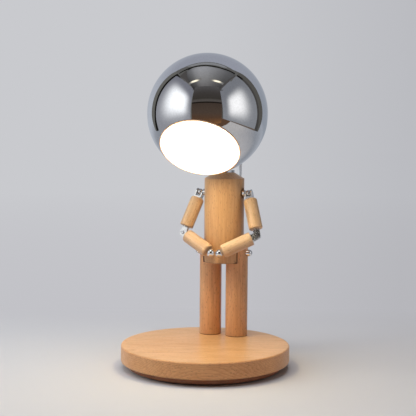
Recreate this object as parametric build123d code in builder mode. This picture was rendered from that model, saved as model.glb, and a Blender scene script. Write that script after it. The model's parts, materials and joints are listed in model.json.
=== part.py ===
from build123d import *
import math
import os

# Desk lamp in the form of a wooden figure with a chrome ball for a head.
# Millimetres. The origin is the centre of the underside, +Z is up and the figure faces -Y.
# side = +1 is the figure's own left (+X), side = -1 its own right.

# ---------------------------------------------------------------- fits
turning_fit = 0.05       # radial clearance of a pin or shaft that turns or slides
fixed_fit = 0.02         # radial clearance of a pin that stays put
seat_gap = 0.1           # between faces that turn against each other
wood_gap = 0.3           # between wooden parts that stand beside each other

# ---------------------------------------------------------------- base
base_radius = 90.0
base_thickness = 17.7
base_edge_radius = 1.6
foot_radius = 82.0
foot_thickness = 6.1
foot_chamfer = 0.6
pad_radius = 73.0        # inside the heads of the foot's screws
pad_thickness = 1.2
pocket_radius = 75.0
pocket_depth = 11.7
foot_screw_radius = 1.5
foot_screw_depth = 9.0   # into the disc
foot_screw_count = 4
ballast_radius = 72.0
ballast_thickness = 6.0
ballast_rear = 27.0      # straight rear edge of the plate, behind the centre
ballast_screw_radius = 2.0
ballast_screw_count = 3
ballast_screw_start = 210  # degrees round the base
ballast_screw_span = 120
ballast_screw_circle_radius = 48.0
board_length = 48.0
board_width = 19.0
board_thickness = 1.6
board_corner_radius = 1.5
board_height = 3.0       # of its posts
board_clearance = 2.1    # to the plate's rear edge
post_inset = 3.0
post_radius = 1.8
coil_x = -6.0
coil_length = 11.0
coil_width = 10.0
coil_corner_radius = 1.0
coil_height = 4.4
terminal_x = 19.0
terminal_length = 6.0
terminal_width = 12.0
capacitor_x = 9.5        # between the two capacitors
capacitor_spacing = 7.0
capacitor_radius = 2.9
capacitor_height = 4.0

disc_bottom = pad_thickness + foot_thickness
disc_top = disc_bottom + base_thickness
pocket_top = disc_bottom + pocket_depth

# rear panel with the power inlet and the push switch
panel_width = 44.0
panel_height = 10.4
panel_thickness = 2.0
panel_setback = 3.5      # outer face behind the rim's rearmost point
panel_corner_radius = 2.0
panel_window_margin = 3.0  # panel's width beyond the opening behind it, at each end
panel_window_overrun = 5.0
control_spacing = 24.0      # inlet to button
control_height = 8.6     # of the inlet's and the switch's bodies
inlet_width = 9.0
inlet_depth = 13.0
inlet_nose_radius = 4.0
inlet_bore_radius = 3.15
inlet_bore_depth = 9.5
inlet_pin_radius = 1.0
inlet_pin_setback = 1.2
inlet_nose_proud = 0.5   # of the panel's face
switch_width = 11.0
switch_depth = 12.0
button_radius = 3.5
button_stands_out = 2.5
button_travel = 1.5
button_length = 11.0
button_edge_radius = 0.6

panel_face_y = base_radius - panel_setback
panel_seat_y = panel_face_y - panel_thickness
control_z = pocket_top - control_height / 2 - seat_gap
inlet_x = control_spacing / 2
button_x = -control_spacing / 2

# ---------------------------------------------------------------- legs and hip
figure_inset = 35.3      # the figure's axis inside the base's rearmost point
leg_radius = 12.2
leg_x = 15.56
leg_height = 82.0        # from the base to the seat of the body
seat_corner_radius = 3.0
cheek_gap = 0.7          # between the body's flats and the cheeks
notch_overrun = 1.0      # of the seat's cut past the leg's sides
leg_screw_radius = 2.9
leg_screw_depth = 22.0   # into the leg
leg_screw_head = 3.0
hip_above_seat = 11.0
hip_bolt_radius = 2.0
cap_nut_radius = 3.9
cap_nut_collar = 2.4
cap_nut_bore = 4.0

figure_y = base_radius - figure_inset
seat_z = disc_top + leg_height
hip_z = seat_z + hip_above_seat
# the cap nuts sit on flats that just clean up the round cheek
nut_seat_x = leg_x + math.sqrt(leg_radius**2 - (cap_nut_radius + seat_gap) ** 2)

# ---------------------------------------------------------------- body
body_radius = 22.07
body_straight = 92.9     # height of the straight side
body_bevel_height = 6.8
body_top_radius = 10.5
body_flat_x = 19.4       # flats between the cheeks
wire_bore_radius = 2.0
wire_entry_radius = 2.4  # bore behind the grommet
wire_slant_radius = 1.7
wire_bore_x = -8.5       # in the right leg
wire_bore_inset = 4.0    # behind the figure's axis
wire_bore_y = figure_y + wire_bore_inset
wire_turn_height = 28.0  # above the seat, where the bore slants over to the leg

cheek_face_x = body_flat_x + cheek_gap
body_top = seat_z + body_straight + body_bevel_height
body_axis = Axis((0, figure_y, 0), (0, 0, 1))

# ---------------------------------------------------------------- shoulders
shoulder_above_seat = 77.0
shoulder_standout = 6.58  # ball centre outside the body's side
recess_radius = 6.0
recess_depth = 3.0
bush_radius = 5.0
bush_inner_x = 7.0
bush_stands_proud = 0.5
barrel_radius = 3.75
barrel_inner_x = 8.0
barrel_end_gap = 4.4     # from the barrel's full width to the ball's centre
barrel_chamfer = 0.3
barrel_neck_radius = 2.3
shoulder_ball_radius = 3.75
set_screw_radius = 2.0
set_screw_length = 11.0
groove_x = 13.0
groove_depth = 1.0

shoulder_z = seat_z + shoulder_above_seat
shoulder_x = body_radius + shoulder_standout
bush_outer_x = body_radius - recess_depth + bush_stands_proud

# ---------------------------------------------------------------- arms
yoke_length = 7.07       # ball centre to the upper arm's wood
yoke_thickness = 1.4
yoke_inside = 5.6        # between the two legs
yoke_width = 7.0
yoke_corner = 1.6
yoke_slot_low = 0.8      # centre of the saddle's arc above the ball's centre
yoke_inner_drop = 1.0    # top of the inner leg below the ball's centre
yoke_screw_radius = 1.25
yoke_screw_head = 2.1
yoke_screw_head_height = 1.2
yoke_screw_length = 13.0
arm_radius = 7.5
arm_length = 34.9        # of each wooden piece
arm_round_end = 2.7
arm_elbow_end = 1.2
tongue_length = 7.83     # upper arm's wood to the elbow's axis
tongue_thickness = 2.6
tongue_collar_radius = 3.8
tongue_collar = 1.2
fork_length = 6.89       # elbow's axis to the forearm's wood
fork_cheek = 1.3
fork_slot_gap = 0.3      # beside the tongue, each side
elbow_width = 7.0
shank_radius = 2.0
shank_length = 12.0
elbow_screw_radius = 1.25
elbow_screw_head = 2.25
elbow_screw_head_height = 1.1
elbow_screw_slot = 0.6
elbow_rivet_radius = 1.9
elbow_rivet_height = 0.6
hand_radius = 4.5
hand_sinks = 0.81        # into the forearm's end
hand_stud_radius = 1.5
hand_stud_length = 8.0

# where the hands rest
hand_gap = 1.0           # between the two balls
hand_shift = 1.3         # the pair is a little to the figure's left
hand_off_body = 4.3
hand_above_seat = 12.9
elbow_drop = 11.0        # degrees that the elbows hang below the plane through the arms

upper_link = yoke_length + arm_length + tongue_length
fore_link = fork_length + arm_length + hand_radius - hand_sinks
hand_y = figure_y - body_radius - hand_off_body - hand_radius
hand_z = seat_z + hand_above_seat

# ---------------------------------------------------------------- neck
collar_radius = 11.2
collar_thickness = 2.6
collar_edge_radius = 0.5
neck_shank_radius = 3.0
neck_shank_length = 20.0
stem_radius = 5.5
knuckle_height = 6.2     # tilt axis above the collar
knuckle_radius = 4.5
knuckle_eye_width = 4.0
knuckle_cheek = 2.3
knuckle_screw_radius = 1.5
knuckle_head_radius = 2.8
knuckle_head_height = 1.6
boss_radius = 6.0
boss_start = 4.9         # from the tilt axis, along the neck
boss_end = 10.5
nipple_radius = 5.0
nipple_length = 8.5
nipple_bore = 2.0
washer_radius = 7.0
friction_washer_radius = 7.5
friction_washer_thickness = 1.5
lock_nut_radius = 7.6
lock_nut_height = 3.6
port_height = 7.0        # of the lead's port above the tilt axis, along the neck
port_radius = 2.6
port_wall = 0.8
port_length = 10.0
relief_radius = 3.2
relief_start = 6.5
relief_end = 13.0
relief_edge_radius = 0.8

collar_top = body_top + collar_thickness
knuckle_z = collar_top + knuckle_height

# ---------------------------------------------------------------- head
head_radius = 63.9
head_wall = 0.9
head_standoff = 12.06    # tilt axis to the ball's skin
head_elevation = 46.07   # degrees, of the neck's direction forward and up
opening_offset = 48.2    # plane of the opening from the ball's centre
light_pitch = 47.3       # degrees below level
light_turn = 8.2         # degrees to the figure's left
ring_height = 4.2        # of the sleeve inside the ball
ring_wall = 1.05
ring_flange = 0.5        # in front of the ball's edge
ring_lip_width = 0.75
ring_lip_height = 0.5    # round the diffuser
diffuser_disc = 0.4      # visible disc, in the ring's lip
diffuser_plug = 2.0      # behind it, in the sleeve
cup_radius = 36.0
cup_depth = 20.8
cup_wall = 1.5
cup_floor = 2.0
led_board_radius = 33.0
led_board_thickness = 1.6
led_circle_radius = 24.0
led_count = 12
led_length = 3.5
led_width = 2.8
led_height = 0.7
spring_count = 3
spring_width = 8.0
spring_thickness = 0.6
spring_foot_height = 9.0   # of its foot, bend and tip above the cup's back
spring_bend_height = 14.5
spring_tip_height = 16.5

# ---------------------------------------------------------------- lead
lead_radius = 2.0
grommet_above_seat = 68.5
grommet_hole_radius = 3.5
grommet_depth = 10.0
grommet_flange_radius = 5.0
grommet_flange = 1.9
grommet_flat = 0.7       # depth of the flat on the body's round back
grommet_edge_radius = 0.7
lead_first_run = 18.2    # straight out of the neck
lead_last_run = 12.2     # straight into the grommet
lead_loop_rise = 31.5    # of the loop's top above the tilt axis
lead_loop_reach = 58.6   # of the loop's back behind the tilt axis
lead_sway = 2.6          # of the loop to the figure's right
corner_share = 0.45      # of a run taken by each of its rounded ends

grommet_z = seat_z + grommet_above_seat
grommet_seat_y = figure_y + body_radius - grommet_flat
grommet_face_y = grommet_seat_y + grommet_flange

os.makedirs("parts", exist_ok=True)


def save(piece, name):
    """Label a finished piece and write it as parts/<name>.step."""
    piece.part.label = name
    export_step(piece.part, f"parts/{name}.step")


def side_name(side):
    return "left" if side > 0 else "right"


# ================================================================ base
with BuildPart() as foot_pad:
    with BuildSketch(Plane.XY):
        Circle(pad_radius)
    extrude(amount=pad_thickness)
save(foot_pad, "foot_pad")

foot_screw_circle = (pocket_radius + foot_radius) / 2
foot_screw_places = PolarLocations(foot_screw_circle, foot_screw_count, start_angle=45)
ballast_screw_places = PolarLocations(
    ballast_screw_circle_radius,
    ballast_screw_count,
    start_angle=ballast_screw_start,
    angular_range=ballast_screw_span,
    endpoint=True,
)

with BuildPart() as base_foot:
    with BuildSketch(Plane.XY.offset(pad_thickness)):
        Circle(foot_radius)
    extrude(amount=foot_thickness)
    foot_lower_edge = base_foot.edges().group_by(Axis.Z)[0]
    chamfer(foot_lower_edge, length=foot_chamfer)
    # countersunk holes for the screws that hold the foot to the disc
    with BuildSketch(Plane.XY.offset(pad_thickness)):
        with foot_screw_places:
            Circle(foot_screw_radius + fixed_fit)
    extrude(amount=foot_thickness, mode=Mode.SUBTRACT)
    with BuildSketch(Plane.XY.offset(pad_thickness)):
        with foot_screw_places:
            Circle(2 * foot_screw_radius)
    extrude(amount=2 * foot_screw_radius, taper=45, mode=Mode.SUBTRACT)
    # pilot holes of the ballast screws
    with BuildSketch(Plane.XY.offset(disc_bottom)):
        with ballast_screw_places:
            Circle(ballast_screw_radius + fixed_fit)
    extrude(amount=-foot_thickness / 2, mode=Mode.SUBTRACT)
save(base_foot, "base_foot")

with BuildPart() as foot_screws:
    with BuildSketch(Plane.XY.offset(pad_thickness)):
        with foot_screw_places:
            Circle(foot_screw_radius)
    extrude(amount=foot_thickness + foot_screw_depth)
    with BuildSketch(Plane.XY.offset(pad_thickness)):
        with foot_screw_places:
            Circle(2 * foot_screw_radius - fixed_fit)
    extrude(amount=foot_screw_radius, taper=45)
save(foot_screws, "foot_screws")

with BuildPart() as base_disc:
    with BuildSketch(Plane.XY.offset(disc_bottom)):
        Circle(base_radius)
    extrude(amount=base_thickness)
    fillet(base_disc.edges().filter_by(GeomType.CIRCLE), radius=base_edge_radius)
    with BuildSketch(Plane.XY.offset(disc_bottom)):
        Circle(pocket_radius)
    extrude(amount=pocket_depth, mode=Mode.SUBTRACT)
    # holes in the roof for the leg screws and for the wires in the right leg
    with BuildSketch(Plane.XY.offset(pocket_top)):
        with Locations((-leg_x, figure_y), (leg_x, figure_y)):
            Circle(leg_screw_radius + fixed_fit)
        with Locations((wire_bore_x, wire_bore_y)):
            Circle(wire_bore_radius)
    extrude(amount=base_thickness, mode=Mode.SUBTRACT)
    with BuildSketch(Plane.XY.offset(disc_bottom)):
        with foot_screw_places:
            Circle(foot_screw_radius + fixed_fit)
    extrude(amount=foot_screw_depth + fixed_fit, mode=Mode.SUBTRACT)
    # recess for the rear panel, then the way through to the pocket
    with BuildSketch(Plane.XZ.offset(-panel_seat_y)):
        with Locations((0, control_z)):
            RectangleRounded(panel_width, panel_height, panel_corner_radius)
    extrude(amount=-2 * panel_setback - panel_thickness, mode=Mode.SUBTRACT)
    with BuildSketch(Plane.XZ.offset(-panel_seat_y)):
        with Locations((0, control_z)):
            Rectangle(panel_width - 2 * panel_window_margin, control_height + 2 * seat_gap)
    extrude(amount=panel_seat_y - pocket_radius + panel_window_overrun, mode=Mode.SUBTRACT)
save(base_disc, "base_disc")

with BuildPart() as ballast_plate:
    with BuildSketch(Plane.XY.offset(disc_bottom)):
        Circle(ballast_radius)
        with Locations((0, ballast_rear + ballast_radius)):
            Rectangle(2 * ballast_radius, 2 * ballast_radius, mode=Mode.SUBTRACT)
        with ballast_screw_places:
            Circle(ballast_screw_radius + fixed_fit, mode=Mode.SUBTRACT)
    extrude(amount=ballast_thickness)
save(ballast_plate, "ballast_plate")

with BuildPart() as ballast_screws:
    with BuildSketch(Plane.XY.offset(disc_bottom - foot_thickness / 2)):
        with ballast_screw_places:
            Circle(ballast_screw_radius)
    extrude(amount=foot_thickness / 2 + ballast_thickness)
    with BuildSketch(Plane.XY.offset(disc_bottom + ballast_thickness)):
        with ballast_screw_places:
            Circle(2 * ballast_screw_radius)
    extrude(amount=ballast_screw_radius)
save(ballast_screws, "ballast_screws")

board_y = ballast_rear + board_clearance + board_width / 2
board_z = disc_bottom + board_height

with BuildPart() as driver_board:
    with BuildSketch(Plane.XY.offset(board_z)):
        with Locations((0, board_y)):
            RectangleRounded(board_length, board_width, board_corner_radius)
    extrude(amount=board_thickness)
    with BuildSketch(Plane.XY.offset(disc_bottom)):
        with Locations((0, board_y)):
            with GridLocations(board_length - 2 * post_inset, board_width - 2 * post_inset, 2, 2):
                Circle(post_radius)
    extrude(amount=board_height)
    # coil, two capacitors and the terminal block
    with BuildSketch(Plane.XY.offset(board_z + board_thickness)):
        with Locations((coil_x, board_y)):
            RectangleRounded(coil_length, coil_width, coil_corner_radius)
        with Locations((terminal_x, board_y)):
            Rectangle(terminal_length, terminal_width)
    extrude(amount=coil_height)
    with BuildSketch(Plane.XY.offset(board_z + board_thickness)):
        with Locations((capacitor_x, board_y)):
            with GridLocations(capacitor_spacing, capacitor_spacing, 2, 1):
                Circle(capacitor_radius)
    extrude(amount=capacitor_height)
save(driver_board, "driver_board")

with BuildPart() as rear_panel:
    with BuildSketch(Plane.XZ.offset(-panel_seat_y)):
        with Locations((0, control_z)):
            RectangleRounded(
                panel_width - 2 * seat_gap,
                panel_height - 2 * seat_gap,
                panel_corner_radius - seat_gap,
            )
        with Locations((inlet_x, control_z)):
            Circle(inlet_nose_radius + fixed_fit, mode=Mode.SUBTRACT)
        with Locations((button_x, control_z)):
            Circle(button_radius + turning_fit, mode=Mode.SUBTRACT)
    extrude(amount=-panel_thickness)
save(rear_panel, "rear_panel")

with BuildPart() as power_inlet:
    with BuildSketch(Plane.XZ.offset(-panel_seat_y)):
        with Locations((inlet_x, control_z)):
            Rectangle(inlet_width, control_height)
    extrude(amount=inlet_depth)
    with BuildSketch(Plane.XZ.offset(-panel_seat_y)):
        with Locations((inlet_x, control_z)):
            Circle(inlet_nose_radius)
    extrude(amount=-panel_thickness - inlet_nose_proud)
    with BuildSketch(Plane.XZ.offset(-panel_face_y - inlet_nose_proud)):
        with Locations((inlet_x, control_z)):
            Circle(inlet_bore_radius)
            Circle(inlet_pin_radius, mode=Mode.SUBTRACT)
    extrude(amount=inlet_bore_depth, mode=Mode.SUBTRACT)
    with BuildSketch(Plane.XZ.offset(-panel_face_y - inlet_nose_proud)):
        with Locations((inlet_x, control_z)):
            Circle(inlet_bore_radius - turning_fit)
    extrude(amount=inlet_pin_setback, mode=Mode.SUBTRACT)
save(power_inlet, "power_inlet")

button_end_y = panel_face_y + button_stands_out - button_length

with BuildPart() as switch_body:
    with BuildSketch(Plane.XZ.offset(-panel_seat_y)):
        with Locations((button_x, control_z)):
            Rectangle(switch_width, control_height)
    extrude(amount=switch_depth)
    with BuildSketch(Plane.XZ.offset(-panel_seat_y)):
        with Locations((button_x, control_z)):
            Circle(button_radius + turning_fit)
    extrude(amount=panel_seat_y - button_end_y + button_travel + wood_gap, mode=Mode.SUBTRACT)
save(switch_body, "switch_body")

with BuildPart() as power_button:
    with BuildSketch(Plane.XZ.offset(-button_end_y)):
        with Locations((button_x, control_z)):
            Circle(button_radius)
    extrude(amount=-button_length)
    fillet(power_button.edges().sort_by(Axis.Y)[-1], radius=button_edge_radius)
save(power_button, "power_button")


# ================================================================ legs and hip
def build_leg(side):
    """Round leg with the upright cheek that holds the body."""
    center_x = side * leg_x
    with BuildPart() as leg:
        with BuildSketch(Plane.XY.offset(disc_top)):
            with Locations((center_x, figure_y)):
                Circle(leg_radius)
        extrude(amount=hip_z + leg_radius - disc_top)
        # seen from the side, the cheek ends in a half circle round the hip bolt
        with BuildSketch(Plane.YZ):
            with Locations((figure_y, hip_z)):
                Circle(leg_radius)
            with Locations((figure_y, (disc_top + hip_z) / 2)):
                Rectangle(2 * leg_radius, hip_z - disc_top)
        extrude(amount=leg_x + 2 * leg_radius, both=True, mode=Mode.INTERSECT)
        # notch where the body sits
        with BuildSketch(Plane.XZ.offset(-figure_y)) as notch:
            with Locations((side * cheek_face_x, seat_z)):
                align_x = Align.MAX if side > 0 else Align.MIN
                Rectangle(cheek_face_x, hip_above_seat + 2 * leg_radius, align=(align_x, Align.MIN))
            corner = notch.vertices().sort_by_distance((side * cheek_face_x, seat_z))[0]
            fillet(corner, radius=seat_corner_radius)
        extrude(amount=leg_radius + notch_overrun, both=True, mode=Mode.SUBTRACT)
        # bolt hole and the flat under the cap nut
        with BuildSketch(Plane.YZ):
            with Locations((figure_y, hip_z)):
                Circle(hip_bolt_radius + fixed_fit)
        extrude(amount=leg_x + 2 * leg_radius, both=True, mode=Mode.SUBTRACT)
        with BuildSketch(Plane.YZ.offset(side * nut_seat_x)):
            with Locations((figure_y, hip_z)):
                Circle(cap_nut_radius + seat_gap)
        extrude(amount=side * leg_radius, mode=Mode.SUBTRACT)
        # screw hole from below
        with BuildSketch(Plane.XY.offset(disc_top)):
            with Locations((center_x, figure_y)):
                Circle(leg_screw_radius + fixed_fit)
        extrude(amount=leg_screw_depth + fixed_fit, mode=Mode.SUBTRACT)
        if side < 0:
            with BuildSketch(Plane.XY.offset(disc_top)):
                with Locations((wire_bore_x, wire_bore_y)):
                    Circle(wire_bore_radius)
            extrude(amount=leg_height, mode=Mode.SUBTRACT)
    return leg


for side in (1, -1):
    save(build_leg(side), f"leg_{side_name(side)}")

with BuildPart() as leg_screws:
    with BuildSketch(Plane.XY.offset(pocket_top)):
        with Locations((-leg_x, figure_y), (leg_x, figure_y)):
            Circle(leg_screw_radius)
    extrude(amount=disc_top - pocket_top + leg_screw_depth)
    with BuildSketch(Plane.XY.offset(pocket_top)):
        with Locations((-leg_x, figure_y), (leg_x, figure_y)):
            Circle(2 * leg_screw_radius)
    extrude(amount=-leg_screw_head)
save(leg_screws, "leg_screws")

with BuildPart() as hip_bolt:
    with BuildSketch(Plane.YZ):
        with Locations((figure_y, hip_z)):
            Circle(hip_bolt_radius)
    extrude(amount=nut_seat_x + cap_nut_bore, both=True)
save(hip_bolt, "hip_bolt")

with BuildPart() as hip_nuts:
    with BuildSketch(Plane.XZ.offset(-figure_y)):
        with BuildLine():
            dome_x = nut_seat_x + cap_nut_collar
            Line((nut_seat_x, hip_z), (nut_seat_x, hip_z + cap_nut_radius))
            Line((nut_seat_x, hip_z + cap_nut_radius), (dome_x, hip_z + cap_nut_radius))
            RadiusArc((dome_x, hip_z + cap_nut_radius), (dome_x + cap_nut_radius, hip_z), cap_nut_radius)
            Line((dome_x + cap_nut_radius, hip_z), (nut_seat_x, hip_z))
        make_face()
    revolve(axis=Axis((0, figure_y, hip_z), (1, 0, 0)))
    with BuildSketch(Plane.YZ.offset(nut_seat_x)):
        with Locations((figure_y, hip_z)):
            Circle(hip_bolt_radius + fixed_fit)
    extrude(amount=cap_nut_bore + fixed_fit, mode=Mode.SUBTRACT)
    mirror(about=Plane.YZ)
save(hip_nuts, "hip_nuts")

# ================================================================ body
with BuildPart() as body:
    with BuildSketch(Plane.XZ.offset(-figure_y)):
        with BuildLine():
            Polyline(
                (0, seat_z),
                (body_radius, seat_z),
                (body_radius, seat_z + body_straight),
                (body_top_radius, body_top),
                (0, body_top),
                close=True,
            )
        make_face()
    revolve(axis=body_axis)
    # flats between the cheeks, arched like the cheeks' tops
    for side in (1, -1):
        with BuildSketch(Plane.YZ.offset(side * body_flat_x)):
            with Locations((figure_y, hip_z)):
                Circle(leg_radius + cheek_gap)
            with Locations((figure_y, hip_z)):
                Rectangle(2 * (leg_radius + cheek_gap), hip_above_seat, align=(Align.CENTER, Align.MAX))
        extrude(amount=side * body_radius, mode=Mode.SUBTRACT)
    flat_edges = body.edges().filter_by(Axis.Y).group_by(Axis.Z)[0]
    fillet(flat_edges, radius=seat_corner_radius + cheek_gap)
    with BuildSketch(Plane.YZ):
        with Locations((figure_y, hip_z)):
            Circle(hip_bolt_radius + fixed_fit)
    extrude(amount=body_radius, both=True, mode=Mode.SUBTRACT)
    # shoulders: a recess, the bush's bore and the set screw's hole from the back
    for side in (1, -1):
        with BuildSketch(Plane.YZ.offset(side * (body_radius - recess_depth))):
            with Locations((figure_y, shoulder_z)):
                Circle(recess_radius)
        extrude(amount=side * 2 * recess_depth, mode=Mode.SUBTRACT)
        with BuildSketch(Plane.YZ.offset(side * bush_inner_x)):
            with Locations((figure_y, shoulder_z)):
                Circle(bush_radius + fixed_fit)
        extrude(amount=side * body_radius, mode=Mode.SUBTRACT)
        with BuildSketch(Plane.XZ.offset(-figure_y)):
            with Locations((side * groove_x, shoulder_z)):
                Circle(set_screw_radius + fixed_fit)
        extrude(amount=-body_radius, mode=Mode.SUBTRACT)
    # shank of the neck bracket
    with BuildSketch(Plane.XY.offset(body_top)):
        with Locations((0, figure_y)):
            Circle(neck_shank_radius + fixed_fit)
    extrude(amount=-neck_shank_length - fixed_fit, mode=Mode.SUBTRACT)
    # grommet: a flat on the round back, its hole, then the wires' bore down to the right leg
    with BuildSketch(Plane.XZ.offset(-grommet_seat_y)):
        with Locations((0, grommet_z)):
            Circle(grommet_flange_radius + seat_gap)
    extrude(amount=-body_radius, mode=Mode.SUBTRACT)
    with BuildSketch(Plane.XZ.offset(-grommet_seat_y)):
        with Locations((0, grommet_z)):
            Circle(grommet_hole_radius + fixed_fit)
    extrude(amount=grommet_depth + fixed_fit, mode=Mode.SUBTRACT)
    with BuildSketch(Plane.XZ.offset(-grommet_seat_y)):
        with Locations((0, grommet_z)):
            Circle(wire_entry_radius)
    extrude(amount=grommet_seat_y - wire_bore_y + wire_bore_radius / 2, mode=Mode.SUBTRACT)
    with BuildSketch(Plane.XY.offset(grommet_z)):
        with Locations((0, wire_bore_y)):
            Circle(wire_bore_radius)
    extrude(amount=seat_z + wire_turn_height - grommet_z, mode=Mode.SUBTRACT)
    slant_top = Vector(0, wire_bore_y, seat_z + wire_turn_height)
    slant = Vector(wire_bore_x, wire_bore_y, seat_z) - slant_top
    with BuildSketch(Plane(origin=slant_top, z_dir=slant)):
        Circle(wire_slant_radius)
    extrude(amount=slant.length + wire_slant_radius, mode=Mode.SUBTRACT)
save(body, "body")

# ================================================================ shoulders
with BuildPart() as set_screws:
    for side in (1, -1):
        with BuildSketch(Plane.XZ.offset(-figure_y - barrel_radius + groove_depth - seat_gap)):
            with Locations((side * groove_x, shoulder_z)):
                Circle(set_screw_radius)
        extrude(amount=-set_screw_length)
save(set_screws, "shoulder_set_screws")


def build_bush(side):
    """Plain bush pressed into the body, with the set screw's hole through its rear wall."""
    with BuildPart() as bush:
        with BuildSketch(Plane.YZ.offset(side * bush_inner_x)):
            with Locations((figure_y, shoulder_z)):
                Circle(bush_radius)
                Circle(barrel_radius + turning_fit, mode=Mode.SUBTRACT)
        extrude(amount=side * (bush_outer_x - bush_inner_x))
        with BuildSketch(Plane.XZ.offset(-figure_y)):
            with Locations((side * groove_x, shoulder_z)):
                Circle(set_screw_radius + fixed_fit)
        extrude(amount=-2 * bush_radius, mode=Mode.SUBTRACT)
    return bush


def build_barrel(side):
    """Turned shaft with a retaining groove and the ball that the yoke grips."""
    cone_start = shoulder_x - barrel_end_gap
    half_groove = set_screw_radius + 2 * seat_gap
    groove_radius = barrel_radius - groove_depth
    with BuildPart() as barrel:
        with BuildSketch(Plane.XZ.offset(-figure_y)):
            with BuildLine():
                Polyline(
                    (barrel_inner_x, shoulder_z),
                    (barrel_inner_x, shoulder_z + barrel_radius),
                    (groove_x - half_groove, shoulder_z + barrel_radius),
                    (groove_x - half_groove, shoulder_z + groove_radius),
                    (groove_x + half_groove, shoulder_z + groove_radius),
                    (groove_x + half_groove, shoulder_z + barrel_radius),
                    (cone_start, shoulder_z + barrel_radius),
                    (cone_start + barrel_chamfer, shoulder_z + barrel_neck_radius),
                    (shoulder_x, shoulder_z + barrel_neck_radius),
                    (shoulder_x, shoulder_z),
                    close=True,
                )
            make_face()
        revolve(axis=Axis((0, figure_y, shoulder_z), (1, 0, 0)))
        with Locations(Plane(origin=(shoulder_x, figure_y, shoulder_z), z_dir=(1, 0, 0))):
            Sphere(shoulder_ball_radius)
        if side < 0:
            mirror(about=Plane.YZ, mode=Mode.REPLACE)
    return barrel


# ================================================================ arms
def arm_points(side):
    """Shoulder, elbow and hand centres of an arm whose hand rests at the belly."""
    shoulder = Vector(side * shoulder_x, figure_y, shoulder_z)
    hand_x = hand_shift + side * (hand_radius + hand_gap / 2)
    hand = Vector(hand_x, hand_y, hand_z)
    reach = (hand - shoulder).length
    toward = (hand - shoulder).normalized()
    sideways = Vector(side, 0, 0)
    outward = (sideways - toward * toward.dot(sideways)).normalized()
    backward = outward.cross(toward) * side
    along = (upper_link**2 - fore_link**2 + reach**2) / (2 * reach)
    offset_length = math.sqrt(upper_link**2 - along**2)
    drop = math.radians(elbow_drop)
    offset_direction = outward * math.cos(drop) + backward * math.sin(drop)
    elbow = shoulder + toward * along + offset_direction * offset_length
    return shoulder, elbow, hand


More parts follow.
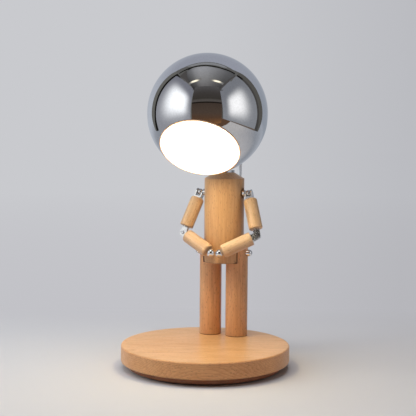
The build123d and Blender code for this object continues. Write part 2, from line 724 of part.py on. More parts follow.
def build_arm(side):
    """All pieces of one arm, as a dictionary of name and piece."""
    shoulder, elbow, hand = arm_points(side)
    upper = (elbow - shoulder).normalized()
    fore = (hand - elbow).normalized()
    sideways = Vector(side, 0, 0)
    outward = (sideways - upper * upper.dot(sideways)).normalized()
    pin = upper.cross(fore).normalized()
    if pin.Y > 0:
        pin = pin * -1

    # planes: upper arm along its wood, fork along the forearm, both elbow plates square to the pin
    upper_plane = Plane(origin=shoulder, x_dir=outward, z_dir=upper)
    fore_plane = Plane(origin=elbow, x_dir=pin, z_dir=fore)
    hand_plane = fore_plane.offset(fore_link)
    tongue_end_plane = Plane(origin=elbow, x_dir=pin, z_dir=upper * -1)
    tongue_plane = Plane(origin=elbow, x_dir=upper * -1, z_dir=pin)
    cheek_plane = Plane(origin=elbow, x_dir=fore, z_dir=pin)
    strap_plane = Plane(origin=shoulder, x_dir=outward, z_dir=outward.cross(upper))
    strap_side_plane = Plane(origin=shoulder, x_dir=upper, z_dir=outward)
    half_strap = yoke_inside / 2 + yoke_thickness

    with BuildPart() as yoke:
        with BuildSketch(strap_plane):
            with Locations((0, yoke_length)):
                strap = Rectangle(
                    2 * half_strap, yoke_length + yoke_width, align=(Align.CENTER, Align.MAX)
                )
            fillet(strap.vertices().group_by(Axis.Y)[-1], radius=yoke_corner)
            with Locations((0, yoke_length - yoke_thickness)):
                Rectangle(
                    yoke_inside,
                    yoke_length + yoke_width,
                    align=(Align.CENTER, Align.MAX),
                    mode=Mode.SUBTRACT,
                )
        extrude(amount=yoke_width / 2, both=True)
        # round upper ends
        with BuildSketch(strap_side_plane):
            Circle(yoke_width / 2)
            Rectangle(yoke_length, yoke_width, align=(Align.MIN, Align.CENTER))
        extrude(amount=2 * half_strap, both=True, mode=Mode.INTERSECT)
        # dished seats for the ball
        with Locations(strap_side_plane):
            Sphere(shoulder_ball_radius + turning_fit, mode=Mode.SUBTRACT)
        # the inner leg ends in a saddle below the barrel's neck
        with BuildSketch(strap_side_plane):
            with Locations((-yoke_slot_low, 0)):
                Circle(barrel_neck_radius + wood_gap)
            with Locations((yoke_inner_drop, 0)):
                Rectangle(2 * yoke_width, 2 * yoke_width, align=(Align.MAX, Align.CENTER))
        extrude(amount=-2 * half_strap, mode=Mode.SUBTRACT)
        with BuildSketch(upper_plane.offset(yoke_length)):
            Circle(yoke_screw_radius + fixed_fit)
        extrude(amount=-2 * yoke_thickness, mode=Mode.SUBTRACT)

    with BuildPart() as yoke_screw:
        with BuildSketch(upper_plane.offset(yoke_length - yoke_thickness)):
            Circle(yoke_screw_radius)
        extrude(amount=yoke_screw_length)
        with BuildSketch(upper_plane.offset(yoke_length - yoke_thickness)):
            Circle(yoke_screw_head)
        extrude(amount=-yoke_screw_head_height)

    with BuildPart() as upper_arm:
        with BuildSketch(upper_plane.offset(yoke_length)):
            Circle(arm_radius)
        extrude(amount=arm_length)
        ends = upper_arm.edges().filter_by(GeomType.CIRCLE).sort_by(Axis(shoulder, upper))
        fillet(ends[0], radius=arm_round_end)
        fillet(ends[-1], radius=arm_elbow_end)
        with BuildSketch(upper_plane.offset(yoke_length)):
            Circle(yoke_screw_radius + fixed_fit)
        extrude(amount=yoke_screw_length, mode=Mode.SUBTRACT)
        with BuildSketch(upper_plane.offset(yoke_length + arm_length)):
            Circle(shank_radius + turning_fit)
        extrude(amount=-shank_length - seat_gap, mode=Mode.SUBTRACT)

    with BuildPart() as tongue:
        with BuildSketch(tongue_plane):
            Circle(elbow_width / 2)
            Rectangle(tongue_length - tongue_collar, elbow_width, align=(Align.MIN, Align.CENTER))
        extrude(amount=tongue_thickness / 2, both=True)
        with BuildSketch(tongue_end_plane.offset(tongue_length - tongue_collar)):
            Circle(tongue_collar_radius)
        extrude(amount=tongue_collar - seat_gap)
        with BuildSketch(tongue_end_plane.offset(tongue_length - seat_gap)):
            Circle(shank_radius)
        extrude(amount=shank_length)
        with BuildSketch(tongue_plane):
            Circle(elbow_screw_radius + turning_fit)
        extrude(amount=tongue_thickness, both=True, mode=Mode.SUBTRACT)

    half_slot = tongue_thickness / 2 + fork_slot_gap
    half_fork = half_slot + fork_cheek
    with BuildPart() as fork:
        with BuildSketch(cheek_plane):
            Circle(elbow_width / 2)
            Rectangle(fork_length, elbow_width, align=(Align.MIN, Align.CENTER))
        extrude(amount=half_fork, both=True)
        with BuildSketch(cheek_plane):
            with Locations((fork_length - fork_cheek, 0)):
                Rectangle(2 * fork_length, 2 * elbow_width, align=(Align.MAX, Align.CENTER))
        extrude(amount=half_slot, both=True, mode=Mode.SUBTRACT)
        with BuildSketch(cheek_plane):
            Circle(elbow_screw_radius + fixed_fit)
        extrude(amount=2 * half_fork, both=True, mode=Mode.SUBTRACT)
        with BuildSketch(fore_plane.offset(fork_length)):
            Circle(shank_radius)
        extrude(amount=shank_length)

    with BuildPart() as elbow_screw:
        with BuildSketch(cheek_plane):
            Circle(elbow_screw_radius)
        extrude(amount=half_fork, both=True)
        with BuildSketch(cheek_plane.offset(half_fork)):
            Circle(elbow_screw_head)
        extrude(amount=elbow_screw_head_height)
        with BuildSketch(cheek_plane.offset(half_fork + elbow_screw_head_height)):
            Rectangle(2 * elbow_screw_head, elbow_screw_slot, rotation=45)
        extrude(amount=-elbow_screw_slot, mode=Mode.SUBTRACT)
        with BuildSketch(cheek_plane.offset(-half_fork)):
            Circle(elbow_rivet_radius)
        extrude(amount=-elbow_rivet_height)

    with BuildPart() as forearm:
        with BuildSketch(fore_plane.offset(fork_length)):
            Circle(arm_radius)
        extrude(amount=arm_length)
        ends = forearm.edges().filter_by(GeomType.CIRCLE).sort_by(Axis(elbow, fore))
        fillet(ends[0], radius=arm_elbow_end)
        fillet(ends[-1], radius=arm_round_end)
        with BuildSketch(fore_plane.offset(fork_length)):
            Circle(shank_radius + fixed_fit)
        extrude(amount=shank_length + fixed_fit, mode=Mode.SUBTRACT)
        with Locations(hand_plane):
            Sphere(hand_radius + fixed_fit, mode=Mode.SUBTRACT)
        with BuildSketch(hand_plane):
            Circle(hand_stud_radius + fixed_fit)
        extrude(amount=-hand_radius - hand_stud_length, mode=Mode.SUBTRACT)

    with BuildPart() as hand_ball:
        with Locations(hand_plane):
            Sphere(hand_radius)
        with BuildSketch(hand_plane):
            Circle(hand_stud_radius)
        extrude(amount=fixed_fit - hand_radius - hand_stud_length)

    return {
        "shoulder_yoke": yoke,
        "yoke_screw": yoke_screw,
        "upper_arm": upper_arm,
        "elbow_tongue": tongue,
        "elbow_fork": fork,
        "elbow_screw": elbow_screw,
        "forearm": forearm,
        "hand_ball": hand_ball,
    }


for side in (1, -1):
    save(build_bush(side), f"shoulder_bush_{side_name(side)}")
    save(build_barrel(side), f"shoulder_barrel_{side_name(side)}")
    for piece_name, piece in build_arm(side).items():
        save(piece, f"{piece_name}_{side_name(side)}")

# ================================================================ neck
with BuildPart() as neck_collar:
    with BuildSketch(Plane.XY.offset(body_top)):
        with Locations((0, figure_y)):
            Circle(collar_radius)
            Circle(neck_shank_radius + fixed_fit, mode=Mode.SUBTRACT)
    extrude(amount=collar_thickness)
    fillet(neck_collar.edges().sort_by(Axis.Z)[-1], radius=collar_edge_radius)
save(neck_collar, "neck_collar")

half_eye = knuckle_eye_width / 2
half_knuckle = half_eye + wood_gap + knuckle_cheek
with BuildPart() as neck_bracket:
    with BuildSketch(Plane.XY.offset(collar_top)):
        with Locations((0, figure_y)):
            Circle(neck_shank_radius)
    extrude(amount=-collar_thickness - neck_shank_length)
    with BuildSketch(Plane.YZ):
        with Locations((figure_y, knuckle_z)):
            Circle(knuckle_radius)
            Rectangle(2 * knuckle_radius, knuckle_height, align=(Align.CENTER, Align.MAX))
    extrude(amount=half_knuckle, both=True)
    # slot for the knuckle's eye, then the round stem below it
    with BuildSketch(Plane.YZ):
        with Locations((figure_y, knuckle_z - knuckle_radius - wood_gap)):
            Rectangle(4 * knuckle_radius, 4 * knuckle_radius, align=(Align.CENTER, Align.MIN))
    extrude(amount=half_eye + wood_gap, both=True, mode=Mode.SUBTRACT)
    with BuildSketch(Plane.XY.offset(collar_top)):
        with Locations((0, figure_y)):
            Circle(stem_radius)
    extrude(amount=knuckle_height - knuckle_radius - wood_gap)
    with BuildSketch(Plane.YZ):
        with Locations((figure_y, knuckle_z)):
            Circle(knuckle_screw_radius + fixed_fit)
    extrude(amount=2 * half_knuckle, both=True, mode=Mode.SUBTRACT)
save(neck_bracket, "neck_bracket")

with BuildPart() as knuckle_screw:
    with BuildSketch(Plane.YZ):
        with Locations((figure_y, knuckle_z)):
            Circle(knuckle_screw_radius)
    extrude(amount=half_knuckle + knuckle_head_height, both=True)
    with BuildSketch(Plane.YZ.offset(half_knuckle)):
        with Locations((figure_y, knuckle_z)):
            Circle(knuckle_head_radius)
    extrude(amount=knuckle_head_height)
save(knuckle_screw, "knuckle_screw")

with BuildPart() as knuckle_nut:
    with BuildSketch(Plane.YZ.offset(-half_knuckle)):
        with Locations((figure_y, knuckle_z)):
            RegularPolygon(knuckle_head_radius, 6)
            Circle(knuckle_screw_radius + fixed_fit, mode=Mode.SUBTRACT)
    extrude(amount=-knuckle_head_height)
save(knuckle_nut, "knuckle_nut")

# The neck points forward and up from the tilt axis to the ball's centre.
elevation = math.radians(head_elevation)
knuckle = Vector(0, figure_y, knuckle_z)
neck_direction = Vector(0, -math.cos(elevation), math.sin(elevation))
port_direction = Vector(0, math.sin(elevation), math.cos(elevation))
head_center = knuckle + neck_direction * (head_radius + head_standoff)
neck_plane = Plane(origin=knuckle, x_dir=(1, 0, 0), z_dir=neck_direction)
eye_plane = Plane(origin=knuckle, x_dir=neck_direction, z_dir=(1, 0, 0))
port_plane = Plane(origin=knuckle + neck_direction * port_height, z_dir=port_direction)

with BuildPart() as neck_knuckle:
    with BuildSketch(eye_plane):
        Circle(knuckle_radius)
        Rectangle(boss_start, 2 * knuckle_radius, align=(Align.MIN, Align.CENTER))
    extrude(amount=half_eye, both=True)
    with BuildSketch(neck_plane.offset(boss_start)):
        Circle(boss_radius)
    extrude(amount=boss_end - boss_start)
    with BuildSketch(neck_plane.offset(boss_end)):
        Circle(nipple_radius)
    extrude(amount=nipple_length)
    with BuildSketch(port_plane):
        Circle(port_radius)
    extrude(amount=port_length)
    # way for the wires: down the nipple and out of the port
    with BuildSketch(neck_plane.offset(boss_end + nipple_length)):
        Circle(nipple_bore)
    extrude(amount=port_height - boss_end - nipple_length, mode=Mode.SUBTRACT)
    with BuildSketch(port_plane):
        Circle(port_radius - port_wall)
    extrude(amount=port_length, mode=Mode.SUBTRACT)
    with BuildSketch(eye_plane):
        Circle(knuckle_screw_radius + turning_fit)
    extrude(amount=knuckle_eye_width, both=True, mode=Mode.SUBTRACT)
save(neck_knuckle, "neck_knuckle")

with BuildPart() as neck_washer:
    with BuildSketch(neck_plane.offset(boss_end)):
        Circle(washer_radius)
        Circle(nipple_radius + fixed_fit, mode=Mode.SUBTRACT)
    extrude(amount=head_standoff - boss_end)
    with Locations(head_center):
        Sphere(head_radius + seat_gap, mode=Mode.SUBTRACT)
save(neck_washer, "neck_washer")

washer_start = head_standoff + head_wall
with BuildPart() as friction_washer:
    with BuildSketch(neck_plane.offset(washer_start)):
        Circle(friction_washer_radius)
        Circle(nipple_radius + fixed_fit, mode=Mode.SUBTRACT)
    extrude(amount=friction_washer_thickness)
    with Locations(head_center):
        Sphere(head_radius - head_wall - seat_gap, mode=Mode.INTERSECT)
save(friction_washer, "friction_washer")

with BuildPart() as lock_nut:
    with BuildSketch(neck_plane.offset(washer_start + friction_washer_thickness)):
        RegularPolygon(lock_nut_radius, 6)
        Circle(nipple_radius + fixed_fit, mode=Mode.SUBTRACT)
    extrude(amount=lock_nut_height)
save(lock_nut, "lock_nut")

with BuildPart() as lead_relief:
    with BuildSketch(port_plane.offset(relief_start)):
        Circle(relief_radius)
    extrude(amount=relief_end - relief_start)
    fillet(lead_relief.edges().sort_by(Axis(knuckle, port_direction))[-1], radius=relief_edge_radius)
    with BuildSketch(port_plane.offset(relief_start)):
        Circle(port_radius + fixed_fit)
    extrude(amount=port_length - relief_start + fixed_fit, mode=Mode.SUBTRACT)
save(lead_relief, "lead_relief")

# ================================================================ head
pitch = math.radians(light_pitch)
turn = math.radians(light_turn)
light_direction = Vector(
    math.cos(pitch) * math.sin(turn), -math.cos(pitch) * math.cos(turn), -math.sin(pitch)
)
light_plane = Plane(origin=head_center, x_dir=(1, math.tan(turn), 0), z_dir=light_direction)
head_inner_radius = head_radius - head_wall
rim_radius = math.sqrt(head_inner_radius**2 - opening_offset**2)
sleeve_radius = rim_radius - seat_gap
trim_radius = math.sqrt(head_radius**2 - opening_offset**2) - seat_gap
flange_back = opening_offset + seat_gap
diffuser_seat = flange_back + ring_flange
diffuser_back = diffuser_seat - diffuser_plug
cup_back = diffuser_back - cup_depth

with BuildPart(light_plane) as head_shell:
    Sphere(head_radius)
    Sphere(head_inner_radius, mode=Mode.SUBTRACT)
    split(bisect_by=light_plane.offset(opening_offset), keep=Keep.BOTTOM)
    with BuildSketch(neck_plane):
        Circle(nipple_radius + turning_fit)
    extrude(amount=2 * head_standoff, mode=Mode.SUBTRACT)
save(head_shell, "head_shell")

with BuildPart() as diffuser_ring:
    # sleeve in the ball's opening
    with BuildSketch(light_plane.offset(flange_back)):
        Circle(sleeve_radius)
        Circle(sleeve_radius - ring_wall, mode=Mode.SUBTRACT)
    extrude(amount=-ring_height)
    # flange over the ball's cut edge, and the lip round the diffuser
    with BuildSketch(light_plane.offset(flange_back)):
        Circle(trim_radius)
        Circle(sleeve_radius - ring_wall, mode=Mode.SUBTRACT)
    extrude(amount=ring_flange)
    with BuildSketch(light_plane.offset(diffuser_seat)):
        Circle(trim_radius)
        Circle(trim_radius - ring_lip_width, mode=Mode.SUBTRACT)
    extrude(amount=ring_lip_height)
    # rear flange that grips the cup
    with BuildSketch(light_plane.offset(flange_back - ring_height)):
        Circle(sleeve_radius)
        Circle(cup_radius + fixed_fit, mode=Mode.SUBTRACT)
    extrude(amount=ring_wall)
save(diffuser_ring, "diffuser_ring")

with BuildPart() as diffuser:
    with BuildSketch(light_plane.offset(diffuser_back)):
        Circle(sleeve_radius - ring_wall - fixed_fit)
    extrude(amount=diffuser_plug)
    with BuildSketch(light_plane.offset(diffuser_seat)):
        Circle(trim_radius - ring_lip_width - fixed_fit)
    extrude(amount=diffuser_disc)
save(diffuser, "diffuser")

with BuildPart() as lamp_cup:
    with BuildSketch(light_plane.offset(cup_back)):
        Circle(cup_radius)
    extrude(amount=cup_depth)
    with BuildSketch(light_plane.offset(cup_back + cup_floor)):
        Circle(cup_radius - cup_wall)
    extrude(amount=cup_depth, mode=Mode.SUBTRACT)
save(lamp_cup, "lamp_cup")

with BuildPart() as led_board:
    with BuildSketch(light_plane.offset(cup_back + cup_floor)):
        Circle(led_board_radius)
    extrude(amount=led_board_thickness)
save(led_board, "led_board")

with BuildPart() as led_chips:
    with BuildSketch(light_plane.offset(cup_back + cup_floor + led_board_thickness)):
        with PolarLocations(led_circle_radius, led_count):
            Rectangle(led_length, led_width)
    extrude(amount=led_height)
save(led_chips, "led_chips")

# Leaf springs on the cup hook behind the ball's rim and hold the lamp unit in the opening.
spring_foot = cup_back + spring_foot_height
spring_bend = cup_back + spring_bend_height
spring_tip = cup_back + spring_tip_height
spring_tip_radius = math.sqrt((head_inner_radius - seat_gap) ** 2 - (spring_tip + spring_thickness) ** 2)
with BuildPart() as retaining_springs:
    for index in range(spring_count):
        around = light_plane.rotated((0, 0, index * 360 / spring_count))
        with BuildSketch(Plane(origin=head_center, x_dir=around.x_dir, z_dir=around.y_dir * -1)):
            with BuildLine():
                Polyline(
                    (cup_radius + fixed_fit, spring_foot),
                    (cup_radius + spring_thickness, spring_foot),
                    (cup_radius + spring_thickness, spring_bend),
                    (spring_tip_radius, spring_tip),
                    (spring_tip_radius, spring_tip + spring_thickness),
                    (cup_radius + fixed_fit, spring_bend + spring_thickness),
                    close=True,
                )
            make_face()
        extrude(amount=spring_width / 2, both=True)
save(retaining_springs, "retaining_springs")

# ================================================================ lead
with BuildPart() as lead_grommet:
    with BuildSketch(Plane.XZ.offset(-grommet_face_y)):
        with Locations((0, grommet_z)):
            Circle(grommet_flange_radius)
    extrude(amount=grommet_flange)
    fillet(lead_grommet.edges().sort_by(Axis.Y)[-1], radius=grommet_edge_radius)
    with BuildSketch(Plane.XZ.offset(-grommet_seat_y)):
        with Locations((0, grommet_z)):
            Circle(grommet_hole_radius)
    extrude(amount=grommet_depth)
save(lead_grommet, "lead_grommet")

lead_start = port_plane.origin + port_direction * relief_end
lead_end = Vector(0, grommet_face_y, grommet_z)


def loop_point(sway, reach, rise):
    """A point of the lead's loop, in shares of its sway, its reach and its rise."""
    return knuckle + Vector(-sway * lead_sway, reach * lead_loop_reach, rise * lead_loop_rise)


lead_points = [
    lead_start,
    lead_start + port_direction * lead_first_run,
    loop_point(0.2, 0.61, 1.0),
    loop_point(0.8, 0.89, 0.7),
    loop_point(1.0, 1.0, 0.13),
    loop_point(0.8, 0.97, -0.51),
    loop_point(0.3, 0.82, -1.0),
    lead_end + Vector(0, lead_last_run, 0),
    lead_end,
]


def corner_radii(points):
    """A radius for each inner point that leaves a straight piece in both its runs."""
    radii = []
    for before, corner, after in zip(points, points[1:], points[2:]):
        turn_angle = (corner - before).get_angle(after - corner)
        shorter_run = min((corner - before).length, (after - corner).length)
        radii.append(corner_share * shorter_run / math.tan(math.radians(turn_angle / 2)))
    return radii


lead_radii = corner_radii(lead_points)
print("lead corner radii:", [round(radius, 1) for radius in lead_radii])
with BuildPart() as head_lead:
    with BuildLine() as lead_route:
        FilletPolyline(*lead_points, radius=lead_radii)
    with BuildSketch(Plane(origin=lead_start, z_dir=port_direction)):
        Circle(lead_radius)
    sweep()
save(head_lead, "head_lead")
lead_length = sum(edge.length for edge in lead_route.edges())
lead_section = math.pi * lead_radius**2
print("lead length:", round(lead_length, 1))
lead_fill = head_lead.part.volume / lead_section / lead_length
print("lead volume over section times length:", round(lead_fill, 4))
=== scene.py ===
import json
import math

import bpy
from mathutils import Matrix, Vector


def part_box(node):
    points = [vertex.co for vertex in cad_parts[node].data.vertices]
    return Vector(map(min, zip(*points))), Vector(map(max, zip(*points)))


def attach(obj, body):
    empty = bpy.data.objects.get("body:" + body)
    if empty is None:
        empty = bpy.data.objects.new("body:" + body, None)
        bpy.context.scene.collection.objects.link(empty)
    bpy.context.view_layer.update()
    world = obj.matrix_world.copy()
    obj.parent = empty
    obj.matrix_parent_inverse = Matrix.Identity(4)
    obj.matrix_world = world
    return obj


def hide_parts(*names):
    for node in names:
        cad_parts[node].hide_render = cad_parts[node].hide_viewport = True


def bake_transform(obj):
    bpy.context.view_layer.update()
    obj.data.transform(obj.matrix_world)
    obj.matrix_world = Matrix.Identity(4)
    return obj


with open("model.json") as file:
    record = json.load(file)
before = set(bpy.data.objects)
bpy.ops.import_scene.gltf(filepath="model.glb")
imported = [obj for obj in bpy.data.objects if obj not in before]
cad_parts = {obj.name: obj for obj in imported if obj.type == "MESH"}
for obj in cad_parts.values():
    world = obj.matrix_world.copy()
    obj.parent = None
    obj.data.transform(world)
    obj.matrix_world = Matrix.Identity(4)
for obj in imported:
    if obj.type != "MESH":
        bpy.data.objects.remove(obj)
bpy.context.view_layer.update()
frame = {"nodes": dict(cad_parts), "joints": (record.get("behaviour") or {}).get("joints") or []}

# Looks of the desk lamp in the form of a wooden figure: the finishes of the CAD nodes, the lead
# behind the neck, and the studio with what its polished metal mirrors. Lengths are in metres where
# nothing else is said. The figure faces -Y, and +X is its own left.

nodes = frame["nodes"]
scene = bpy.context.scene
scene.view_settings.view_transform = "Standard"


def middle(node):
    """The middle of a CAD node's box."""
    low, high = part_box(node)
    return (low + high) / 2


# ---------------------------------------------------------------- camera

FIGURE_TURN = 0.3770          # the figure faces this far to the left of the camera, in radians
CAMERA_DISTANCE = 1.03887
CAMERA_HEIGHT = 0.25046
CAMERA_PITCH = 0.07673
CAMERA_YAW = 0.0019
CAMERA_ROLL = 0.0073
LENS_MM = 85
SENSOR_MM = 36

turn = Matrix.Rotation(FIGURE_TURN, 3, "Z")
to_right = turn @ Vector((1, 0, 0))
to_camera = turn @ Vector((0, -1, 0))
up = Vector((0, 0, 1))

camera_data = bpy.data.cameras.new("camera")
camera_data.lens = LENS_MM
camera_data.sensor_width = SENSOR_MM
camera_data.clip_start = 0.01
camera_data.clip_end = 100
camera = bpy.data.objects.new("camera", camera_data)
scene.collection.objects.link(camera)
camera.location = to_camera * CAMERA_DISTANCE + up * CAMERA_HEIGHT
line_of_sight = turn @ Vector((
    math.sin(CAMERA_YAW) * math.cos(CAMERA_PITCH),
    math.cos(CAMERA_YAW) * math.cos(CAMERA_PITCH),
    -math.sin(CAMERA_PITCH),
))
camera.rotation_mode = "QUATERNION"
camera.rotation_quaternion = (
    line_of_sight.to_track_quat("-Z", "Y") @ Matrix.Rotation(CAMERA_ROLL, 4, "Z").to_quaternion()
)
scene.camera = camera


# ---------------------------------------------------------------- colours


def linear(value):
    """One sRGB channel, 0 to 255, as the linear number that Blender's colours hold."""
    share = value / 255
    return share / 12.92 if share <= 0.04045 else ((share + 0.055) / 1.055) ** 2.4


def rgb(red, green, blue):
    return (linear(red), linear(green), linear(blue), 1.0)


def grey(share):
    return (share, share, share, 1.0)


def scaled(colour, share):
    return tuple(channel * share for channel in colour[:3]) + (1.0,)


# ---------------------------------------------------------------- node helpers

NOISE_RANGE = (0.3, 0.7)             # where nearly all of a noise's values lie
NOISE_MIDDLE = (0.35, 0.65)          # a narrower part of them, which makes clearer patches
MIX_INPUTS = (0, 6, 7)               # factor, A and B of a Mix node that mixes colours
MIX_RESULT = 2                       # and its output


class Tree:
    """A short way to write a material's nodes."""

    def __init__(self, name):
        self.material = bpy.data.materials.new(name)
        self.material.use_nodes = True
        self.tree = self.material.node_tree
        self.tree.nodes.clear()
        self.out = self.node("ShaderNodeOutputMaterial")

    def node(self, kind, **settings):
        made = self.tree.nodes.new(kind)
        for key, value in settings.items():
            setattr(made, key, value)
        return made

    def link(self, output, socket):
        self.tree.links.new(output, socket)

    def feed(self, socket, value):
        """Give a socket a constant or another node's output."""
        if isinstance(value, bpy.types.NodeSocket):
            self.link(value, socket)
        else:
            socket.default_value = value

    def math(self, operation, *values, clamp=False):
        made = self.node("ShaderNodeMath", operation=operation, use_clamp=clamp)
        for socket, value in zip(made.inputs, values):
            self.feed(socket, value)
        return made.outputs[0]

    def hypot(self, x, y):
        squares = self.math("ADD", self.math("MULTIPLY", x, x), self.math("MULTIPLY", y, y))
        return self.math("SQRT", squares)

    def spread(self, value, low, high, to_low=0.0, to_high=1.0):
        """The stretch from low to high as the stretch from to_low to to_high, held at its ends."""
        made = self.node("ShaderNodeMapRange")
        self.link(value, made.inputs["Value"])
        made.inputs["From Min"].default_value = low
        made.inputs["From Max"].default_value = high
        made.inputs["To Min"].default_value = to_low
        made.inputs["To Max"].default_value = to_high
        return made.outputs["Result"]

    def vary(self, noise, low, high):
        """A noise spread so that it runs from low to high."""
        return self.spread(noise, *NOISE_RANGE, low, high)

    def mix(self, factor, a, b, blend="MIX"):
        made = self.node("ShaderNodeMix", data_type="RGBA", blend_type=blend)
        for index, value in zip(MIX_INPUTS, (factor, a, b)):
            self.feed(made.inputs[index], value)
        return made.outputs[MIX_RESULT]

    def tint(self, colour, by):
        return self.mix(1.0, colour, by, "MULTIPLY")

    def axes(self, where):
        parts = self.node("ShaderNodeSeparateXYZ")
        self.link(where, parts.inputs[0])
        return parts.outputs

    def along(self, vector, axis):
        """How far a vector reaches along an axis."""
        made = self.node("ShaderNodeVectorMath", operation="DOT_PRODUCT")
        self.link(vector, made.inputs[0])
        made.inputs[1].default_value = axis
        return made.outputs["Value"]

    def length(self, vector):
        made = self.node("ShaderNodeVectorMath", operation="LENGTH")
        self.link(vector, made.inputs[0])
        return made.outputs["Value"]

    def world_place(self):
        return self.node("ShaderNodeNewGeometry").outputs["Position"]

    def place(self, grain=None, size=(1, 1, 1), shift=(0, 0, 0)):
        """The point on the piece, turned so that grain is Z, then scaled and shifted."""
        where = self.node("ShaderNodeTexCoord").outputs["Object"]
        if grain is not None:
            first = self.node("ShaderNodeMapping")
            spin = Vector(grain).normalized().rotation_difference(Vector((0, 0, 1)))
            first.inputs["Rotation"].default_value = spin.to_euler("XYZ")
            self.link(where, first.inputs["Vector"])
            where = first.outputs[0]
        second = self.node("ShaderNodeMapping")
        second.inputs["Scale"].default_value = size
        second.inputs["Location"].default_value = shift
        self.link(where, second.inputs["Vector"])
        return second.outputs[0]

    def ramp(self, value, stops):
        made = self.node("ShaderNodeValToRGB")
        self.link(value, made.inputs[0])
        elements = made.color_ramp.elements
        elements[0].position, elements[0].color = stops[0]
        elements[1].position, elements[1].color = stops[-1]
        for position, colour in stops[1:-1]:
            elements.new(position).color = colour
        return made.outputs[0]

    def noise(self, where, scale, detail=3.0, rough=0.55):
        made = self.node("ShaderNodeTexNoise")
        made.inputs["Scale"].default_value = scale
        made.inputs["Detail"].default_value = detail
        made.inputs["Roughness"].default_value = rough
        self.link(where, made.inputs["Vector"])
        return made.outputs["Fac"]

    def bump(self, height, strength, distance):
        made = self.node("ShaderNodeBump")
        made.inputs["Strength"].default_value = strength
        made.inputs["Distance"].default_value = distance
        self.link(height, made.inputs["Height"])
        return made.outputs["Normal"]

    def principled(self, **values):
        made = self.node("ShaderNodeBsdfPrincipled")
        for key, value in values.items():
            made.inputs[key.replace("_", " ")].default_value = value
        self.link(made.outputs[0], self.out.inputs["Surface"])
        return made

    def emission(self, colour):
        made = self.node("ShaderNodeEmission")
        self.feed(made.inputs["Color"], colour)
        return made.outputs[0]

    def mix_shader(self, factor, a, b):
        made = self.node("ShaderNodeMixShader")
        for socket, value in zip(made.inputs, (factor, a, b)):
            self.link(value, socket)
        return made.outputs[0]


# ---------------------------------------------------------------- wood

BEECH = (rgb(221, 175, 127), rgb(190, 137, 88))          # early wood, late wood
BASE_BEECH = (rgb(234, 186, 132), rgb(202, 144, 90))
LEG_BEECH = (rgb(241, 185, 134), rgb(198, 135, 88))
ARM_BEECH = (rgb(224, 186, 146), rgb(192, 145, 101))
FORE_BEECH = (rgb(226, 194, 160), rgb(204, 157, 116))
WALNUT = (rgb(196, 122, 74), rgb(146, 84, 48))
PAINTED_SEAM_SHADE = (0.26, 0.15, 0.10, 1.0)                           # tints of the wood: painted shade in seams and at feet, and next the rim's redder end grain with painted shade
END_GRAIN_AND_SHADE = (1.04, 0.91, 0.83, 1.0)

PITH = (0.047, 0.031)                # from the tree's middle to the origin, across the grain
RING_GAP = 0.0042
RING_DEPTH = 0.2
RING_WAVE = 0.0035                   # how far a ring wanders to each side
RING_PROFILE = [(0.0, grey(0)), (0.72, grey(0.7)), (0.9, grey(1)), (1.0, grey(0))]
BASE_RING_GAP = 0.0019
BASE_RING_DEPTH = 0.42
FOOT_RING_GAP = 0.003
FOOT_RING_DEPTH = 0.3

# layers of noise: scale across the grain, share of it along the grain, detail, roughness
GRAIN_LAYERS = {
    "ring wave": (34, 0.12, 2, 0.55),
    "broad bands": (45, 0.3, 3, 0.5),
    "streaks": (420, 0.07, 3, 0.6),
    "fibres": (1300, 0.05, 4, 0.62),
    "chosen flecks": (620, 0.3, 2, 0.55),
}
STREAK_DEPTH = 0.36
FIBRE_DEPTH = 0.36
BAND_DEPTH = (-0.08, 0.24)
FLECK_SCALE = 720
FLECK_ALONG = 0.27
FLECK_EDGE = (0.10, 0.34)            # a fleck fades out between these distances from its cell's point
FLECK_CHOICE = (0.40, 0.50)          # and shows where the noise lies above these
FLECK_DEPTH = 0.6
FLECK_SHADE = 0.5                    # share of the late wood's colour
WOOD_BUMP = {"strength": 0.10, "distance": 0.00012}
WOOD_ROUGH_RANGE = (-0.06, 0.07)     # what the streaks take from its roughness and add to it
LACQUER = {"IOR": 1.46, "Coat_Weight": 0.3, "Coat_Roughness": 0.24}


def grain_layer(tree, name, grain, shift):
    scale, along, detail, rough = GRAIN_LAYERS[name]
    return tree.noise(tree.place(grain, (1, 1, along), shift), scale, detail, rough)


def growth_rings(tree, grain, shift, gap):
    """Rings round the pith: each darkens slowly from its inside out, then ends."""
    x, y, _ = tree.axes(tree.place(grain, shift=shift))
    reach = tree.hypot(tree.math("ADD", x, PITH[0]), tree.math("ADD", y, PITH[1]))
    wave = tree.vary(grain_layer(tree, "ring wave", grain, shift), -RING_WAVE, RING_WAVE)
    rings = tree.math("DIVIDE", tree.math("ADD", reach, wave), gap)
    return tree.ramp(tree.math("FRACT", rings), RING_PROFILE)


def wood_flecks(tree, grain, shift):
    """The short dark rays of beech, in some of the cells that the wood is divided into."""
    cell = tree.node("ShaderNodeTexVoronoi", feature="F1")
    cell.inputs["Scale"].default_value = FLECK_SCALE
    tree.link(tree.place(grain, (1, 1, FLECK_ALONG), shift), cell.inputs["Vector"])
    fleck = tree.spread(cell.outputs["Distance"], *FLECK_EDGE, 1.0, 0.0)
    chosen = tree.spread(grain_layer(tree, "chosen flecks", grain, shift), *FLECK_CHOICE)
    return tree.math("MULTIPLY", fleck, chosen)


